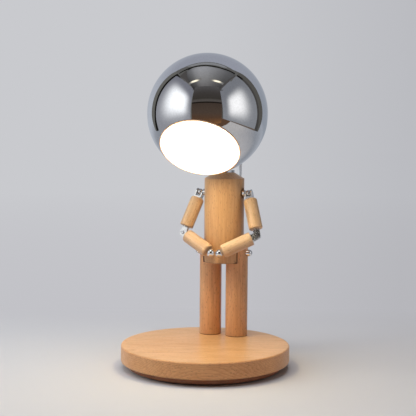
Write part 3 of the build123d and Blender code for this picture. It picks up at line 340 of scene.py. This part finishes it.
def wood(name, grain, colours, shift, ring_gap=RING_GAP, ring_depth=RING_DEPTH, rough=0.42,
         shade_where=None, tint=PAINTED_SEAM_SHADE):
    """Lacquered wood. shade_where(tree) gives how far a place takes the tint: painted shade, or on the
    rim end grain with painted shade.
    """
    tree = Tree(name)
    early, late = colours
    streaks = grain_layer(tree, "streaks", grain, shift)
    fibres = grain_layer(tree, "fibres", grain, shift)
    bands = grain_layer(tree, "broad bands", grain, shift)
    flecks = wood_flecks(tree, grain, shift)
    tone = tree.math("MULTIPLY", growth_rings(tree, grain, shift, ring_gap), ring_depth)
    tone = tree.math("ADD", tone, tree.vary(streaks, 0.0, STREAK_DEPTH))
    tone = tree.math("ADD", tone, tree.vary(fibres, 0.0, FIBRE_DEPTH))
    tone = tree.math("ADD", tone, tree.vary(bands, *BAND_DEPTH), clamp=True)
    marks = tree.math("MULTIPLY", flecks, FLECK_DEPTH)
    colour = tree.mix(marks, tree.mix(tone, early, late), scaled(late, FLECK_SHADE))
    if shade_where:
        colour = tree.mix(shade_where(tree), colour, tree.tint(colour, tint))
    shade = tree.principled(**LACQUER)
    tree.link(colour, shade.inputs["Base Color"])
    less, more = WOOD_ROUGH_RANGE
    tree.link(tree.vary(streaks, rough + less, rough + more), shade.inputs["Roughness"])
    tree.link(tree.bump(tree.math("SUBTRACT", fibres, marks), **WOOD_BUMP), shade.inputs["Normal"])
    return tree.material


# ---------------------------------------------------------------- painted shade in seams and at feet, and end grain

CHEEK_X = 0.0201                     # inner faces of the cheeks
CHEEK_GAP = 0.0007                   # clearance between the cheeks and the body, beside and above them
cheek_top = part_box("leg_left")[1].z
leg_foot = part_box("leg_left")[0].z
body_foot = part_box("body")[0].z
base_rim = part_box("base_disc")[1].x

# where each tint starts and where it is full, counted from its edge; all but the rim's are painted
# shade, and the rim's is end grain with painted shade
FLAT_FADE = (-0.0005, 0.0)
NOTCH_FADE = (0.0, -0.0005)
BODY_FOOT_FADE = (0.0007, 0.0002)
BODY_FOOT_SHADE = 0.6                # how full it gets at the body's foot
CHEEK_FADE = (0.0003, 0.0001)
CHEEK_FOOT_FADE = (-0.0005, -0.0001)
LEG_FOOT_FADE = (0.0009, 0.0003)
RIM_FADE = (-0.0012, -0.0002)


def edge_fade(tree, value, edge, fade, most=1.0):
    """0 to most, as the value goes from the fade's start to where it is full."""
    start, full = fade
    return tree.spread(value, edge + start, edge + full, 0.0, most)


def body_painted_shade(tree):
    """Painted shade on the body's flats between the cheeks, where little light reaches, and along its
    lowest edge.
    """
    x, _, z = tree.axes(tree.place())
    flats = edge_fade(tree, tree.math("ABSOLUTE", x), CHEEK_X - CHEEK_GAP, FLAT_FADE)
    notch = edge_fade(tree, z, cheek_top + CHEEK_GAP, NOTCH_FADE)
    foot = edge_fade(tree, z, body_foot, BODY_FOOT_FADE, BODY_FOOT_SHADE)
    return tree.math("MAXIMUM", tree.math("MULTIPLY", flats, notch), foot)


def leg_painted_shade(tree):
    """Painted shade on the cheeks' inner faces, and along the legs' lowest edges on the base."""
    x, _, z = tree.axes(tree.place())
    cheeks = edge_fade(tree, tree.math("ABSOLUTE", x), CHEEK_X, CHEEK_FADE)
    beside_body = edge_fade(tree, z, body_foot, CHEEK_FOOT_FADE)
    foot = edge_fade(tree, z, leg_foot, LEG_FOOT_FADE)
    return tree.math("MAXIMUM", tree.math("MULTIPLY", cheeks, beside_body), foot)


def end_grain_and_shade(tree):
    """The base's rim: redder end grain, and darker with painted shade."""
    x, y, _ = tree.axes(tree.place())
    return edge_fade(tree, tree.hypot(x, y), base_rim, RIM_FADE)


body_wood = wood("beech_body", up, BEECH, (0.013, 0.02, 0.0), shade_where=body_painted_shade)
leg_wood = {
    "left": wood("beech_leg_left", up, LEG_BEECH, (0.07, 0.05, 0.3), shade_where=leg_painted_shade),
    "right": wood("beech_leg_right", up, LEG_BEECH, (-0.03, 0.09, 0.7), shade_where=leg_painted_shade),
}
base_wood = wood("beech_base", to_right, BASE_BEECH, (0.0, 0.02, 0.0),
                 BASE_RING_GAP, BASE_RING_DEPTH, shade_where=end_grain_and_shade, tint=END_GRAIN_AND_SHADE)
foot_wood = wood("walnut_foot", to_right, WALNUT, (0.2, 0.1, 0.0),
                 FOOT_RING_GAP, FOOT_RING_DEPTH, rough=0.5)


# ---------------------------------------------------------------- metal, plastic and rubber

BRUSH_ALONG = 0.04                   # share of a brushed metal's noise scale along its brushing
METAL_BUMP_DISTANCE = 0.00005
METAL_PATCH_SHADE = 0.93             # share of the metal's colour in its duller patches
PLASTIC_BUMP_DISTANCE = 0.00008
PLASTIC_PATCH_SCALE = 90
PLASTIC_PATCH_SHADE = 0.9
PLASTIC_ROUGH_RANGE = (-0.06, 0.08)  # what the grain takes from its roughness and adds to it


def metal(name, colour, rough, uneven, scale, brush=None, bump=0.02):
    """Metal with a faint unevenness in its polish, or brushed along one direction."""
    tree = Tree(name)
    shade = tree.principled(Metallic=1.0)
    where = tree.place(brush, (1, 1, BRUSH_ALONG) if brush else (1, 1, 1))
    worn = tree.noise(where, scale, 4, 0.6)
    tree.link(tree.vary(worn, rough - uneven, rough + uneven), shade.inputs["Roughness"])
    patches = tree.mix(tree.spread(worn, *NOISE_MIDDLE), colour, scaled(colour, METAL_PATCH_SHADE))
    tree.link(patches, shade.inputs["Base Color"])
    if bump:
        tree.link(tree.bump(worn, bump, METAL_BUMP_DISTANCE), shade.inputs["Normal"])
    return tree.material


def plastic(name, colour, rough, grain_scale=2200, bump=0.15, transmission=0.0):
    """Moulded plastic or rubber with a fine moulded grain and slightly uneven colour."""
    tree = Tree(name)
    shade = tree.principled(IOR=1.48, Transmission_Weight=transmission)
    fine = tree.noise(tree.place(), grain_scale, 3, 0.6)
    slow = tree.noise(tree.place(), PLASTIC_PATCH_SCALE, 3, 0.5)
    patches = tree.mix(tree.spread(slow, *NOISE_MIDDLE), colour, scaled(colour, PLASTIC_PATCH_SHADE))
    tree.link(patches, shade.inputs["Base Color"])
    less, more = PLASTIC_ROUGH_RANGE
    tree.link(tree.vary(fine, rough + less, rough + more), shade.inputs["Roughness"])
    tree.link(tree.bump(fine, bump, PLASTIC_BUMP_DISTANCE), shade.inputs["Normal"])
    return tree.material


NICKEL = (0.80, 0.79, 0.77, 1.0)
chrome = metal("chrome", (0.86, 0.87, 0.89, 1.0), 0.035, 0.015, 500, bump=0.0)
polished = metal("polished_nickel", NICKEL, 0.12, 0.04, 700)
nickel = metal("satin_nickel", NICKEL, 0.25, 0.08, 900, brush=(0, 0, 1))
steel = metal("steel", (0.72, 0.72, 0.73, 1.0), 0.24, 0.07, 900)
zinc = metal("ballast_steel", (0.42, 0.42, 0.43, 1.0), 0.46, 0.1, 160, bump=0.1)
brass = metal("bush_brass", (0.78, 0.58, 0.30, 1.0), 0.3, 0.07, 700)
aluminium = metal("lamp_aluminium", (0.80, 0.80, 0.81, 1.0), 0.38, 0.08, 900, bump=0.06)
trim = plastic("ring_bronze", rgb(206, 160, 122), 0.4)
rubber = plastic("rubber_pad", rgb(46, 45, 44), 0.72, 1500, 0.3)
grommet = plastic("grommet_rubber", rgb(176, 176, 178), 0.58)
black = plastic("black_plastic", rgb(30, 30, 31), 0.42)
board = plastic("circuit_board", rgb(28, 84, 58), 0.4, 2600, 0.1)
led = plastic("led", rgb(236, 214, 120), 0.35)
sheath = plastic("lead_sheath", rgb(236, 237, 240), 0.3, 3000, 0.1, transmission=0.35)


# ---------------------------------------------------------------- lit diffuser

GLOW_LEVEL = 1.5
GLOW_RIM_SHARE = 0.75                # of that level at the rim
GLOW_RIM = (0.034, 0.041)            # from the diffuser's middle, where it weakens
GLOW_MOTTLE = 0.01
GLOW_MIDDLE = (1.0, 0.97, 0.92, 1.0)
GLOW_EDGE = (1.0, 0.90, 0.78, 1.0)


def glow(name):
    """The lit opal diffuser: nearly even, a little weaker and warmer towards its rim."""
    tree = Tree(name)
    from_middle = tree.length(tree.place(shift=tuple(-middle("diffuser"))))
    edge = tree.spread(from_middle, *GLOW_RIM)
    mottle = tree.vary(tree.noise(tree.place(), 900, 2), 1.0 - GLOW_MOTTLE, 1.0 + GLOW_MOTTLE)
    shade = tree.principled(Roughness=0.35)
    shade.inputs["Base Color"].default_value = (0.9, 0.88, 0.84, 1.0)
    tree.link(tree.mix(edge, GLOW_MIDDLE, GLOW_EDGE), shade.inputs["Emission Color"])
    level = tree.spread(edge, 0, 1, GLOW_LEVEL, GLOW_RIM_SHARE * GLOW_LEVEL)
    tree.link(tree.math("MULTIPLY", level, mottle), shade.inputs["Emission Strength"])
    return tree.material


diffuser_glow = glow("diffuser_glow")


# ---------------------------------------------------------------- finishes of the CAD nodes


def finish_node(name, material):
    piece = nodes[name]
    piece.data.materials.clear()
    piece.data.materials.append(material)
    for polygon in piece.data.polygons:
        polygon.material_index = 0


finishes = {
    "foot_pad": (rubber, "rubber_pad"),
    "base_foot": (foot_wood, "walnut_foot"),
    "foot_screws": (steel, "steel"),
    "base_disc": (base_wood, "beech_base"),
    "ballast_plate": (zinc, "ballast_steel"),
    "ballast_screws": (steel, "steel"),
    "driver_board": (board, "circuit_board"),
    "rear_panel": (black, "black_plastic"),
    "power_inlet": (black, "black_plastic"),
    "switch_body": (black, "black_plastic"),
    "power_button": (black, "black_plastic"),
    "leg_screws": (steel, "steel"),
    "hip_bolt": (steel, "steel"),
    "hip_nuts": (chrome, "chrome"),
    "body": (body_wood, "beech"),
    "shoulder_set_screws": (steel, "steel"),
    "neck_collar": (chrome, "chrome"),
    "neck_bracket": (chrome, "chrome"),
    "knuckle_screw": (steel, "steel"),
    "knuckle_nut": (steel, "steel"),
    "neck_knuckle": (chrome, "chrome"),
    "neck_washer": (steel, "steel"),
    "friction_washer": (rubber, "rubber_pad"),
    "lock_nut": (steel, "steel"),
    "lead_relief": (grommet, "grommet_rubber"),
    "head_shell": (chrome, "chrome"),
    "diffuser_ring": (trim, "ring_bronze"),
    "diffuser": (diffuser_glow, "diffuser_glow"),
    "lamp_cup": (aluminium, "lamp_aluminium"),
    "led_board": (board, "circuit_board"),
    "led_chips": (led, "led"),
    "retaining_springs": (steel, "steel"),
    "lead_grommet": (grommet, "grommet_rubber"),
}
for name, (material, slot_name) in finishes.items():
    finish_node(name, material)

joint_places = {
    joint["name"]: Vector(joint["pos_m"]) for joint in frame["joints"] if "pos_m" in joint
}

for number, side in enumerate(("left", "right")):
    shoulder = joint_places[f"shoulder_swing_{side}"]
    elbow = joint_places[f"elbow_bend_{side}"]
    hand = middle(f"hand_ball_{side}")
    upper = wood(f"beech_upper_{side}", elbow - shoulder, ARM_BEECH, (0.11 * number, 0.04, 0.2))
    fore = wood(f"beech_fore_{side}", hand - elbow, FORE_BEECH, (0.05, 0.13 * number, 0.5))
    arm_finishes = {
        "leg": (leg_wood[side], "beech"),
        "upper_arm": (upper, "beech"),
        "forearm": (fore, "beech"),
        "shoulder_bush": (brass, "bush_brass"),
        "shoulder_barrel": (polished, "chrome"),
        "shoulder_yoke": (polished, "chrome"),
        "elbow_tongue": (nickel, "chrome"),
        "elbow_fork": (nickel, "chrome"),
        "hand_ball": (chrome, "chrome"),
        "yoke_screw": (steel, "steel"),
        "elbow_screw": (steel, "steel"),
    }
    for name, (material, slot_name) in arm_finishes.items():
        finish_node(f"{name}_{side}", material)


# ---------------------------------------------------------------- lead

MM = 0.001
LEAD_DIAMETER = 0.004
LEAD_ROUTE = [            # in millimetres, from the neck's strain relief to the body's grommet
    (0, 59.206, 229.56), (0, 72.31, 242.19), (-0.5, 90.4, 247.0), (-2.1, 106.9, 237.6),
    (-2.6, 113.3, 219.6), (-2.1, 111.5, 199.4), (-0.8, 102.8, 184.0), (0, 90.17, 175.5),
    (0, 77.97, 175.5),
]


def lead_mesh(bevel):
    """The lead's NURBS line as a mesh, bare or with its round section."""
    curve = bpy.data.curves.new("lead_route", "CURVE")
    curve.dimensions = "3D"
    curve.resolution_u = 16
    spline = curve.splines.new("NURBS")
    spline.points.add(len(LEAD_ROUTE) - 1)
    for point, (x, y, z) in zip(spline.points, LEAD_ROUTE):
        point.co = (x * MM, y * MM, z * MM, 1.0)
    spline.order_u = 3
    spline.use_endpoint_u = True
    curve.bevel_depth = bevel
    curve.bevel_resolution = 5
    curve.use_fill_caps = bevel > 0
    holder = bpy.data.objects.new("lead_route", curve)
    scene.collection.objects.link(holder)
    bpy.context.view_layer.update()
    made = bpy.data.meshes.new_from_object(holder)
    bpy.data.objects.remove(holder)
    bpy.data.curves.remove(curve)
    return made


lead_path = [tuple(v.co) for v in lead_mesh(0).vertices]
lead = bpy.data.objects.new("lead", lead_mesh(LEAD_DIAMETER / 2))
scene.collection.objects.link(lead)
lead.data.materials.clear()
lead.data.materials.append(sheath)
for polygon in lead.data.polygons:
    polygon.use_smooth = True
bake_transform(lead)
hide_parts("head_lead")


# ---------------------------------------------------------------- studio

FLOOR_COLOUR = rgb(203, 197, 196)
# painted shade: the backdrop, and the floor's grey where it runs into it, are darker to the right, as
# the light comes from the left
BACK_LEFT = rgb(201, 202, 206)
BACK_RIGHT = rgb(187, 188, 193)
BACK_SPREAD = (0.0, 0.2)               # where the backdrop darkens, as a slope to the right
HORIZON_LEFT = rgb(194, 194, 199)
HORIZON_RIGHT = rgb(182, 182, 187)
MIRRORED_LEFT = rgb(186, 191, 200)     # the room beside the backdrop, which only the metal shows
MIRRORED_RIGHT = rgb(150, 156, 166)
MIRRORED_TOP = rgb(156, 159, 170)


def studio(right, front, height):
    """A place in the studio: to the camera's right, towards the camera, and above the floor."""
    return to_right * right + to_camera * front + up * height


def stage_mesh(name, corners, material):
    """One flat face of the studio."""
    mesh = bpy.data.meshes.new(name)
    mesh.from_pydata([tuple(corner) for corner in corners], [], [tuple(range(len(corners)))])
    mesh.materials.append(material)
    made = bpy.data.objects.new(name, mesh)
    scene.collection.objects.link(made)
    return made


# ---------------------------------------------------------------- floor

FLOOR_REACH = 12.0
FLOOR_CORNERS = 48
PAPER_SCALE = 700
PAPER_SHADE = 0.985                    # share of the paper's colour in its darker specks
FADE_BEHIND = (0.11, 0.34)             # where the lit paper gives way to the backdrop's grey
FADE_ROUND = (0.24, 0.60)
HORIZON_FADE = (0.4, 3.0)              # where the grey near the object becomes the backdrop's
NEAREST_DEPTH = 0.3                    # the least distance from the camera that a slope is read at
MIRRORED_REACH = (-0.3, 1.0)           # from in front of the object to behind it
MIRRORED_FLOOR = [
    (0.0, rgb(185, 182, 181)), (0.2, rgb(165, 164, 167)), (0.45, rgb(144, 148, 155)),
    (1.0, rgb(170, 174, 183))]
MIRRORED_FADE = (0.7, 1.6)             # where that floor becomes the room behind it
MIRRORED_WIDTH = (-0.9, 0.9)           # from that room's left to its right


def floor_material():
    """Pale paper that keeps the shadow near the object and runs out into the backdrop's grey."""
    tree = Tree("floor")
    where = tree.node("ShaderNodeTexCoord").outputs["Object"]
    reach = tree.length(where)
    sideways = tree.along(where, to_right)
    behind = tree.along(where, -to_camera)

    paper = tree.node("ShaderNodeBsdfDiffuse")
    specks = tree.vary(tree.noise(tree.place(), PAPER_SCALE), 0.0, 1.0)
    tree.link(tree.mix(specks, FLOOR_COLOUR, scaled(FLOOR_COLOUR, PAPER_SHADE)), paper.inputs["Color"])

    depth = tree.math("MAXIMUM", tree.math("ADD", behind, CAMERA_DISTANCE), NEAREST_DEPTH)
    slant = tree.spread(tree.math("DIVIDE", sideways, depth), *BACK_SPREAD)
    near_grey = tree.mix(slant, HORIZON_LEFT, HORIZON_RIGHT)
    far_grey = tree.mix(slant, BACK_LEFT, BACK_RIGHT)
    plain_grey = tree.mix(tree.spread(reach, *HORIZON_FADE), near_grey, far_grey)

    mirrored = tree.ramp(tree.spread(behind, *MIRRORED_REACH), MIRRORED_FLOOR)
    far_room = tree.mix(tree.spread(sideways, *MIRRORED_WIDTH), MIRRORED_LEFT, MIRRORED_RIGHT)
    mirrored = tree.mix(tree.spread(behind, *MIRRORED_FADE), mirrored, far_room)

    to_eye = tree.node("ShaderNodeLightPath").outputs["Is Camera Ray"]
    beyond = tree.emission(tree.mix(to_eye, mirrored, plain_grey))
    fade = tree.math("MAXIMUM", tree.spread(behind, *FADE_BEHIND), tree.spread(reach, *FADE_ROUND))
    tree.link(tree.mix_shader(fade, paper.outputs[0], beyond), tree.out.inputs["Surface"])
    return tree.material


floor_edge = []
for number in range(FLOOR_CORNERS):
    angle = number * math.tau / FLOOR_CORNERS
    floor_edge.append(studio(FLOOR_REACH * math.cos(angle), FLOOR_REACH * math.sin(angle), 0))
stage_mesh("floor", floor_edge, floor_material())


# ---------------------------------------------------------------- world
# The backdrop for the camera, the room round it for the metal, and a soft even light for the rest.

AMBIENT = 0.05
AMBIENT_COLOUR = (0.93, 0.95, 1.0, 1.0)
ROOM_SIDES = (-0.6, 0.6)               # a direction's reach to the right, over which the room darkens
ROOM_CEILING = (0.15, 0.7)             # its reach upwards, over which the room takes its top's colour
BACKDROP_EDGE = (0.93, 0.97)           # its reach away from the camera, where the backdrop begins


class WorldTree(Tree):
    def __init__(self, made):
        self.tree = made.node_tree
        self.tree.nodes.clear()
        self.out = self.node("ShaderNodeOutputWorld")

    def background(self, colour, strength=1.0):
        made = self.node("ShaderNodeBackground")
        self.feed(made.inputs["Color"], colour)
        made.inputs["Strength"].default_value = strength
        return made.outputs[0]


world = bpy.data.worlds.new("world")
scene.world = world
world.use_nodes = True
sky = WorldTree(world)
direction = sky.node("ShaderNodeTexCoord").outputs["Generated"]
to_side = sky.along(direction, to_right)
backdrop = sky.mix(sky.spread(to_side, *BACK_SPREAD), BACK_LEFT, BACK_RIGHT)
room = sky.mix(sky.spread(to_side, *ROOM_SIDES), MIRRORED_LEFT, MIRRORED_RIGHT)
room = sky.mix(sky.spread(sky.along(direction, up), *ROOM_CEILING), room, MIRRORED_TOP)
room = sky.mix(sky.spread(sky.along(direction, -to_camera), *BACKDROP_EDGE), room, backdrop)
ray = sky.node("ShaderNodeLightPath")
mirror_ray = sky.math("MAXIMUM", ray.outputs["Is Glossy Ray"], ray.outputs["Is Transmission Ray"])
unseen = sky.mix_shader(mirror_ray, sky.background(AMBIENT_COLOUR, AMBIENT), sky.background(room))
sky.link(sky.mix_shader(ray.outputs["Is Camera Ray"], unseen, sky.background(backdrop)),
         sky.out.inputs["Surface"])


# ---------------------------------------------------------------- what the metal mirrors
# A photographer's tent: two lit side walls, a grey ceiling with two small lamps, a dark front, and
# frames round the walls. Its cards show in mirrors alone, and their outlines and colours are chosen
# for what the ball mirrors in the photo. Their places are (right, front, height), in units of the
# tent's half width, with heights counted from the ball's.

TENT = 0.78
BALL_HEIGHT = 0.27
FLOOR_LINE = -BALL_HEIGHT / TENT
CEILING = 1.3
LAMP_HEIGHT = CEILING - 0.02
LINE_HEIGHT = 1.32                     # the cards above the ceiling, from its dark edge up
WEDGE_HEIGHT = 1.34
LIP_HEIGHT = 1.35
FRAME_HEIGHT = 1.36
TABLE_HEIGHT = FLOOR_LINE + 0.006
SILL_HEIGHT = FLOOR_LINE + 0.035
SILL_SIDE = 0.99                       # the cards beside the lit walls, which stand at 1
LINE_SIDE = 1.01
WEDGE_SIDE = 1.02
FRAME_SIDE = 1.03
LINE_FRONT = 0.3                       # the dark lines' front ends, out of sight behind the lit walls
LINE_TOP = 1.33
FRONT = 1.05
ROOM_FRONT = 2.2
ROOM_TOP = 1.98
LAMP_HALF_WIDTH = 0.30
LAMP_HALF_DEPTH = 0.07
PATCH_SQUARENESS = 3.4                 # 2 makes a bright patch round, more makes it squarer


def tent(right, front, height):
    return studio(right * TENT, front * TENT, height * TENT + BALL_HEIGHT)


def even_card(name, colour):
    tree = Tree(name)
    tree.link(tree.emission(colour), tree.out.inputs["Surface"])
    return tree.material


def patch_card(name, edges, core, centre, sizes):
    """A card with a soft bright patch: core colour at its centre, falling to the edge colours, which
    run from the first low down to the second high up."""
    tree = Tree(name)
    where = tree.world_place()
    away = tree.node("ShaderNodeVectorMath", operation="SUBTRACT")
    tree.link(where, away.inputs[0])
    away.inputs[1].default_value = tent(*centre)
    total = 0.0
    for axis, size in zip((to_right, to_camera, up), sizes):
        if size is None:
            continue
        distance = tree.math("ABSOLUTE", tree.along(away.outputs[0], axis / (size * TENT)))
        total = tree.math("ADD", total, tree.math("POWER", distance, PATCH_SQUARENESS))
    share = tree.math("EXPONENT", tree.math("MULTIPLY", total, -1.0))
    edge = tree.mix(tree.spread(tree.along(where, up), BALL_HEIGHT, BALL_HEIGHT + TENT), *edges)
    tree.link(tree.emission(tree.mix(share, edge, core)), tree.out.inputs["Surface"])
    return tree.material


def ramp_card(name, *ramps):
    """A card whose colour is the product of its ramps. Each is (axis, low, high, stops) and runs
    through its stops between two distances along its axis."""
    tree = Tree(name)
    where = tree.world_place()
    colour = None
    for axis, low, high, stops in ramps:
        band = tree.ramp(tree.spread(tree.along(where, axis), low, high), stops)
        colour = band if colour is None else tree.tint(colour, band)
    tree.link(tree.emission(colour), tree.out.inputs["Surface"])
    return tree.material


def card(name, points, material):
    made = stage_mesh(name, [tent(*point) for point in points], material)
    made.visible_camera = False
    made.visible_diffuse = False
    made.visible_shadow = False
    made.visible_transmission = False
    made.visible_volume_scatter = False


def level_card(name, height, outline, material):
    """A card that lies level, with its outline as (right, front)."""
    card(name, [(right, front, height) for right, front in outline], material)


def wall_card(name, right, outline, material):
    """A card in a side wall's plane, with its outline as (front, height)."""
    card(name, [(right, front, height) for front, height in outline], material)


dark_card = even_card("card_dark", rgb(24, 23, 20))
seam_card = even_card("card_seam", rgb(72, 70, 68))
wedge_card = even_card("card_wedge", rgb(80, 77, 76))

# the lit walls
wall_card("card_left", -1, [
    (-0.38, FLOOR_LINE), (-0.35, 0.1), (-0.33, 0.5), (-0.29, 1.2), (0.18, 1.33), (0.90, 1.53),
    (1.63, 1.68), (1.67, 1.2), (1.66, FLOOR_LINE)],
    patch_card("card_left", (rgb(148, 149, 155), rgb(124, 125, 134)), (1.36, 1.38, 1.40, 1),
               (-1, 0.65, 0.42), (None, 0.62, 0.48)))
wall_card("card_right", 1, [
    (-0.25, FLOOR_LINE), (-0.24, 0.3), (-0.20, 0.9), (-0.18, 1.31), (-0.08, 1.42), (0.42, 1.70),
    (1.12, 1.80), (1.95, 1.85), (1.98, 1.34), (1.90, 0.6), (1.83, FLOOR_LINE)],
    patch_card("card_right", (rgb(137, 139, 144), rgb(124, 126, 132)), (1.13, 1.12, 1.11, 1),
               (1, 0.71, 0.33), (None, 0.515, 0.434)))

# the ceiling, brightest near its rear edge and left of its middle, with two small warm lamps
ceiling_depth = [
    (0.0, rgb(152, 152, 155)), (0.15, rgb(160, 160, 163)), (0.5, rgb(142, 141, 141)),
    (0.8, rgb(118, 116, 116)), (1.0, rgb(100, 97, 96))]
ceiling_width = [
    (0.0, grey(0.24)), (0.14, grey(0.5)), (0.22, grey(0.82)), (0.32, grey(1.0)),
    (0.46, grey(0.92)), (0.66, grey(0.6)), (0.85, grey(0.36)), (1.0, grey(0.28))]
level_card("card_ceiling", CEILING, [
    (-0.64, -0.14), (-0.42, -0.17), (-0.2, -0.14), (0.0, -0.11), (0.2, -0.07), (0.42, -0.08),
    (0.7, -0.16), (0.92, -0.19), (0.90, -0.05), (0.824, 0.242), (0.755, 0.57), (0.70, 0.85),
    (0.65, 1.25), (-0.78, 1.28), (-0.79, 0.65), (-0.75, 0.29)],
    ramp_card("card_ceiling", (to_camera, -0.2 * TENT, 1.28 * TENT, ceiling_depth),
              (to_right, -0.75 * TENT, 0.85 * TENT, ceiling_width)))
for name, right, front, tilt in (
        ("card_lamp_left", -0.53, 0.635, 0.06),
        ("card_lamp_right", 0.38, 0.69, -0.06)):
    lamp_outline = [
        (right + across * LAMP_HALF_WIDTH, front + forward * LAMP_HALF_DEPTH - across * tilt)
        for across, forward in ((-1, 1), (1, 1), (1, -1), (-1, -1))]
    level_card(name, LAMP_HEIGHT, lamp_outline, patch_card(
        name, (rgb(134, 132, 130), rgb(126, 124, 122)), (1.6, 1.45, 1.1, 1),
        (right, front, LAMP_HEIGHT), (0.16, 0.055, None)))

# the dark front with a shelf's line across it, its table, and the sill that runs along the right wall
front_height = [
    (0.0, rgb(134, 92, 56)), (0.05, rgb(112, 78, 52)), (0.13, rgb(86, 64, 49)),
    (0.24, rgb(78, 65, 56)), (0.45, rgb(68, 57, 50)), (0.462, rgb(26, 22, 18)),
    (0.482, rgb(30, 26, 22)), (0.495, rgb(84, 78, 75)), (0.535, rgb(82, 78, 74)),
    (0.575, rgb(60, 56, 52)), (0.75, rgb(66, 62, 60)), (1.0, rgb(84, 82, 82))]
card("card_front", [
    (-0.56, FRONT, FLOOR_LINE), (0.50, FRONT, FLOOR_LINE), (0.55, FRONT, 1.25), (-0.62, FRONT, 1.25)],
    ramp_card("card_front", (up, 0.0, 1.52 * TENT, front_height)))
level_card("card_table", TABLE_HEIGHT, [
    (-0.6, 0.78), (0.55, 0.78), (1.0, 1.06), (1.0, 2.1), (-0.6, 2.1)],
    even_card("card_table", rgb(92, 68, 52)))
wall_card("card_sill", SILL_SIDE, [
    (-0.28, FLOOR_LINE), (1.06, FLOOR_LINE), (1.06, SILL_HEIGHT), (-0.28, SILL_HEIGHT)],
    even_card("card_sill", rgb(104, 92, 82)))

# a grey frame outside each lit wall, with a dark line between them
for name, side, frame_rear, wall_rear, tone, line in (
        ("left", -1, -0.78, -0.35, rgb(106, 105, 101), dark_card),
        ("right", 1, -0.68, -0.24, rgb(88, 86, 82), seam_card)):
    wall_card(f"card_frame_{name}", side * FRAME_SIDE, [
        (frame_rear + 0.12, FLOOR_LINE), (frame_rear, -0.05), (frame_rear, 1.15),
        (frame_rear + 0.04, FRAME_HEIGHT), (2.0, ROOM_TOP), (ROOM_FRONT, FLOOR_LINE)],
        even_card(f"card_frame_{name}", tone))
    wall_card(f"card_line_{name}", side * LINE_SIDE, [
        (wall_rear - 0.22, FLOOR_LINE), (wall_rear - 0.12, -0.05), (wall_rear - 0.10, 1.0),
        (LINE_FRONT, 1.0), (LINE_FRONT, FLOOR_LINE)], line)
    wall_card(f"card_line_top_{name}", side * LINE_SIDE, [
        (wall_rear - 0.10, 1.0), (wall_rear - 0.08, LINE_TOP), (LINE_FRONT, LINE_TOP),
        (LINE_FRONT, 1.0)], dark_card)

# the frame, a paler lip and a dark line along the ceiling's rear edge
level_card("card_frame_top", FRAME_HEIGHT, [
    (-1.03, -0.74), (-0.91, -0.67), (-0.70, -0.56), (-0.50, -0.50), (-0.2, -0.46), (0.6, -0.44),
    (0.8, -0.46), (1.03, -0.64), (1.03, 0.4), (-1.03, 0.4)],
    even_card("card_frame_top", rgb(98, 97, 95)))
level_card("card_lip", LIP_HEIGHT, [
    (-0.62, -0.47), (-0.45, -0.44), (-0.2, -0.41), (0.45, -0.39), (0.60, -0.34), (0.45, -0.24),
    (0.0, -0.24), (-0.45, -0.31)],
    even_card("card_lip", rgb(138, 139, 142)))
level_card("card_line_top", LINE_HEIGHT, [
    (-0.95, -0.36), (-0.5, -0.27), (0.0, -0.19), (0.4, -0.17), (0.9, -0.30), (0.9, -0.1),
    (-0.55, -0.1), (-0.62, -0.21), (-0.94, -0.29)], dark_card)

# dark wedges that close the corners between the ceiling, the walls and the room's front
for name, side, rear, inner in (("left", -1, -0.10, 0.66), ("right", 1, -0.15, 0.85)):
    card(f"card_wedge_{name}", [
        (side * WEDGE_SIDE, rear, WEDGE_HEIGHT), (side * inner, -0.2, WEDGE_HEIGHT),
        (side * 0.6, 1.4, WEDGE_HEIGHT), (side * WEDGE_SIDE, 2.0, 1.9)], wedge_card)
card("card_wedge_front", [
    (-0.9, 1.25, 1.33), (0.9, 1.25, 1.33), (0.9, 2.0, 1.8), (-0.9, 2.0, 1.8)], wedge_card)
card("card_room_front", [
    (-FRAME_SIDE, ROOM_FRONT, FLOOR_LINE), (FRAME_SIDE, ROOM_FRONT, FLOOR_LINE),
    (FRAME_SIDE, ROOM_FRONT, ROOM_TOP), (-FRAME_SIDE, ROOM_FRONT, ROOM_TOP)], wedge_card)


# ---------------------------------------------------------------- lights


def hidden_light(name, kind, power, colour, centre, direction):
    """A light that shows neither to the camera nor in the metal."""
    data = bpy.data.lights.new(name, kind)
    data.energy = power
    data.color = colour
    made = bpy.data.objects.new(name, data)
    scene.collection.objects.link(made)
    made.location = centre
    made.rotation_mode = "QUATERNION"
    made.rotation_quaternion = direction.to_track_quat("-Z", "Y")
    made.visible_glossy = False
    made.visible_camera = False
    return made


lit_point = Vector((0, 0, 0.14))       # what the softboxes face
for name, place, size, power, colour in (
        ("light_left", studio(-0.95, 0.05, 0.70), (1.0, 0.9), 8.3, (0.80, 0.93, 1.0)),
        ("light_right", studio(0.95, 0.25, 0.60), (0.8, 0.8), 1.2, (1.0, 1.0, 1.0)),
        ("light_top", studio(-0.1, 0.0, 1.35), (1.1, 1.0), 14.0, (0.91, 0.95, 1.0))):
    softbox = hidden_light(name, "AREA", power, colour, place, lit_point - place)
    softbox.data.shape = "RECTANGLE"
    softbox.data.size, softbox.data.size_y = size


def glow_light(name, kind, power, colour, standoff):
    """Warm light that the lit diffuser gives the figure. It rides on the head, a little way out
    from the diffuser's middle."""
    outward = (middle("diffuser") - middle("head_shell")).normalized()
    made = hidden_light(name, kind, power, colour, middle("diffuser") + outward * standoff, outward)
    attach(made, "head")
    return made.data


# some of it comes from the diffuser's whole face, and more from its bulging middle
face = glow_light("light_glow_face", "AREA", 0.12, (1.0, 0.70, 0.20), 0.002)
face.shape = "DISK"
face.size = 0.074
bulge = glow_light("light_glow_bulge", "POINT", 0.46, (1.0, 0.91, 0.62), 0.009)
bulge.shadow_soft_size = 0.02
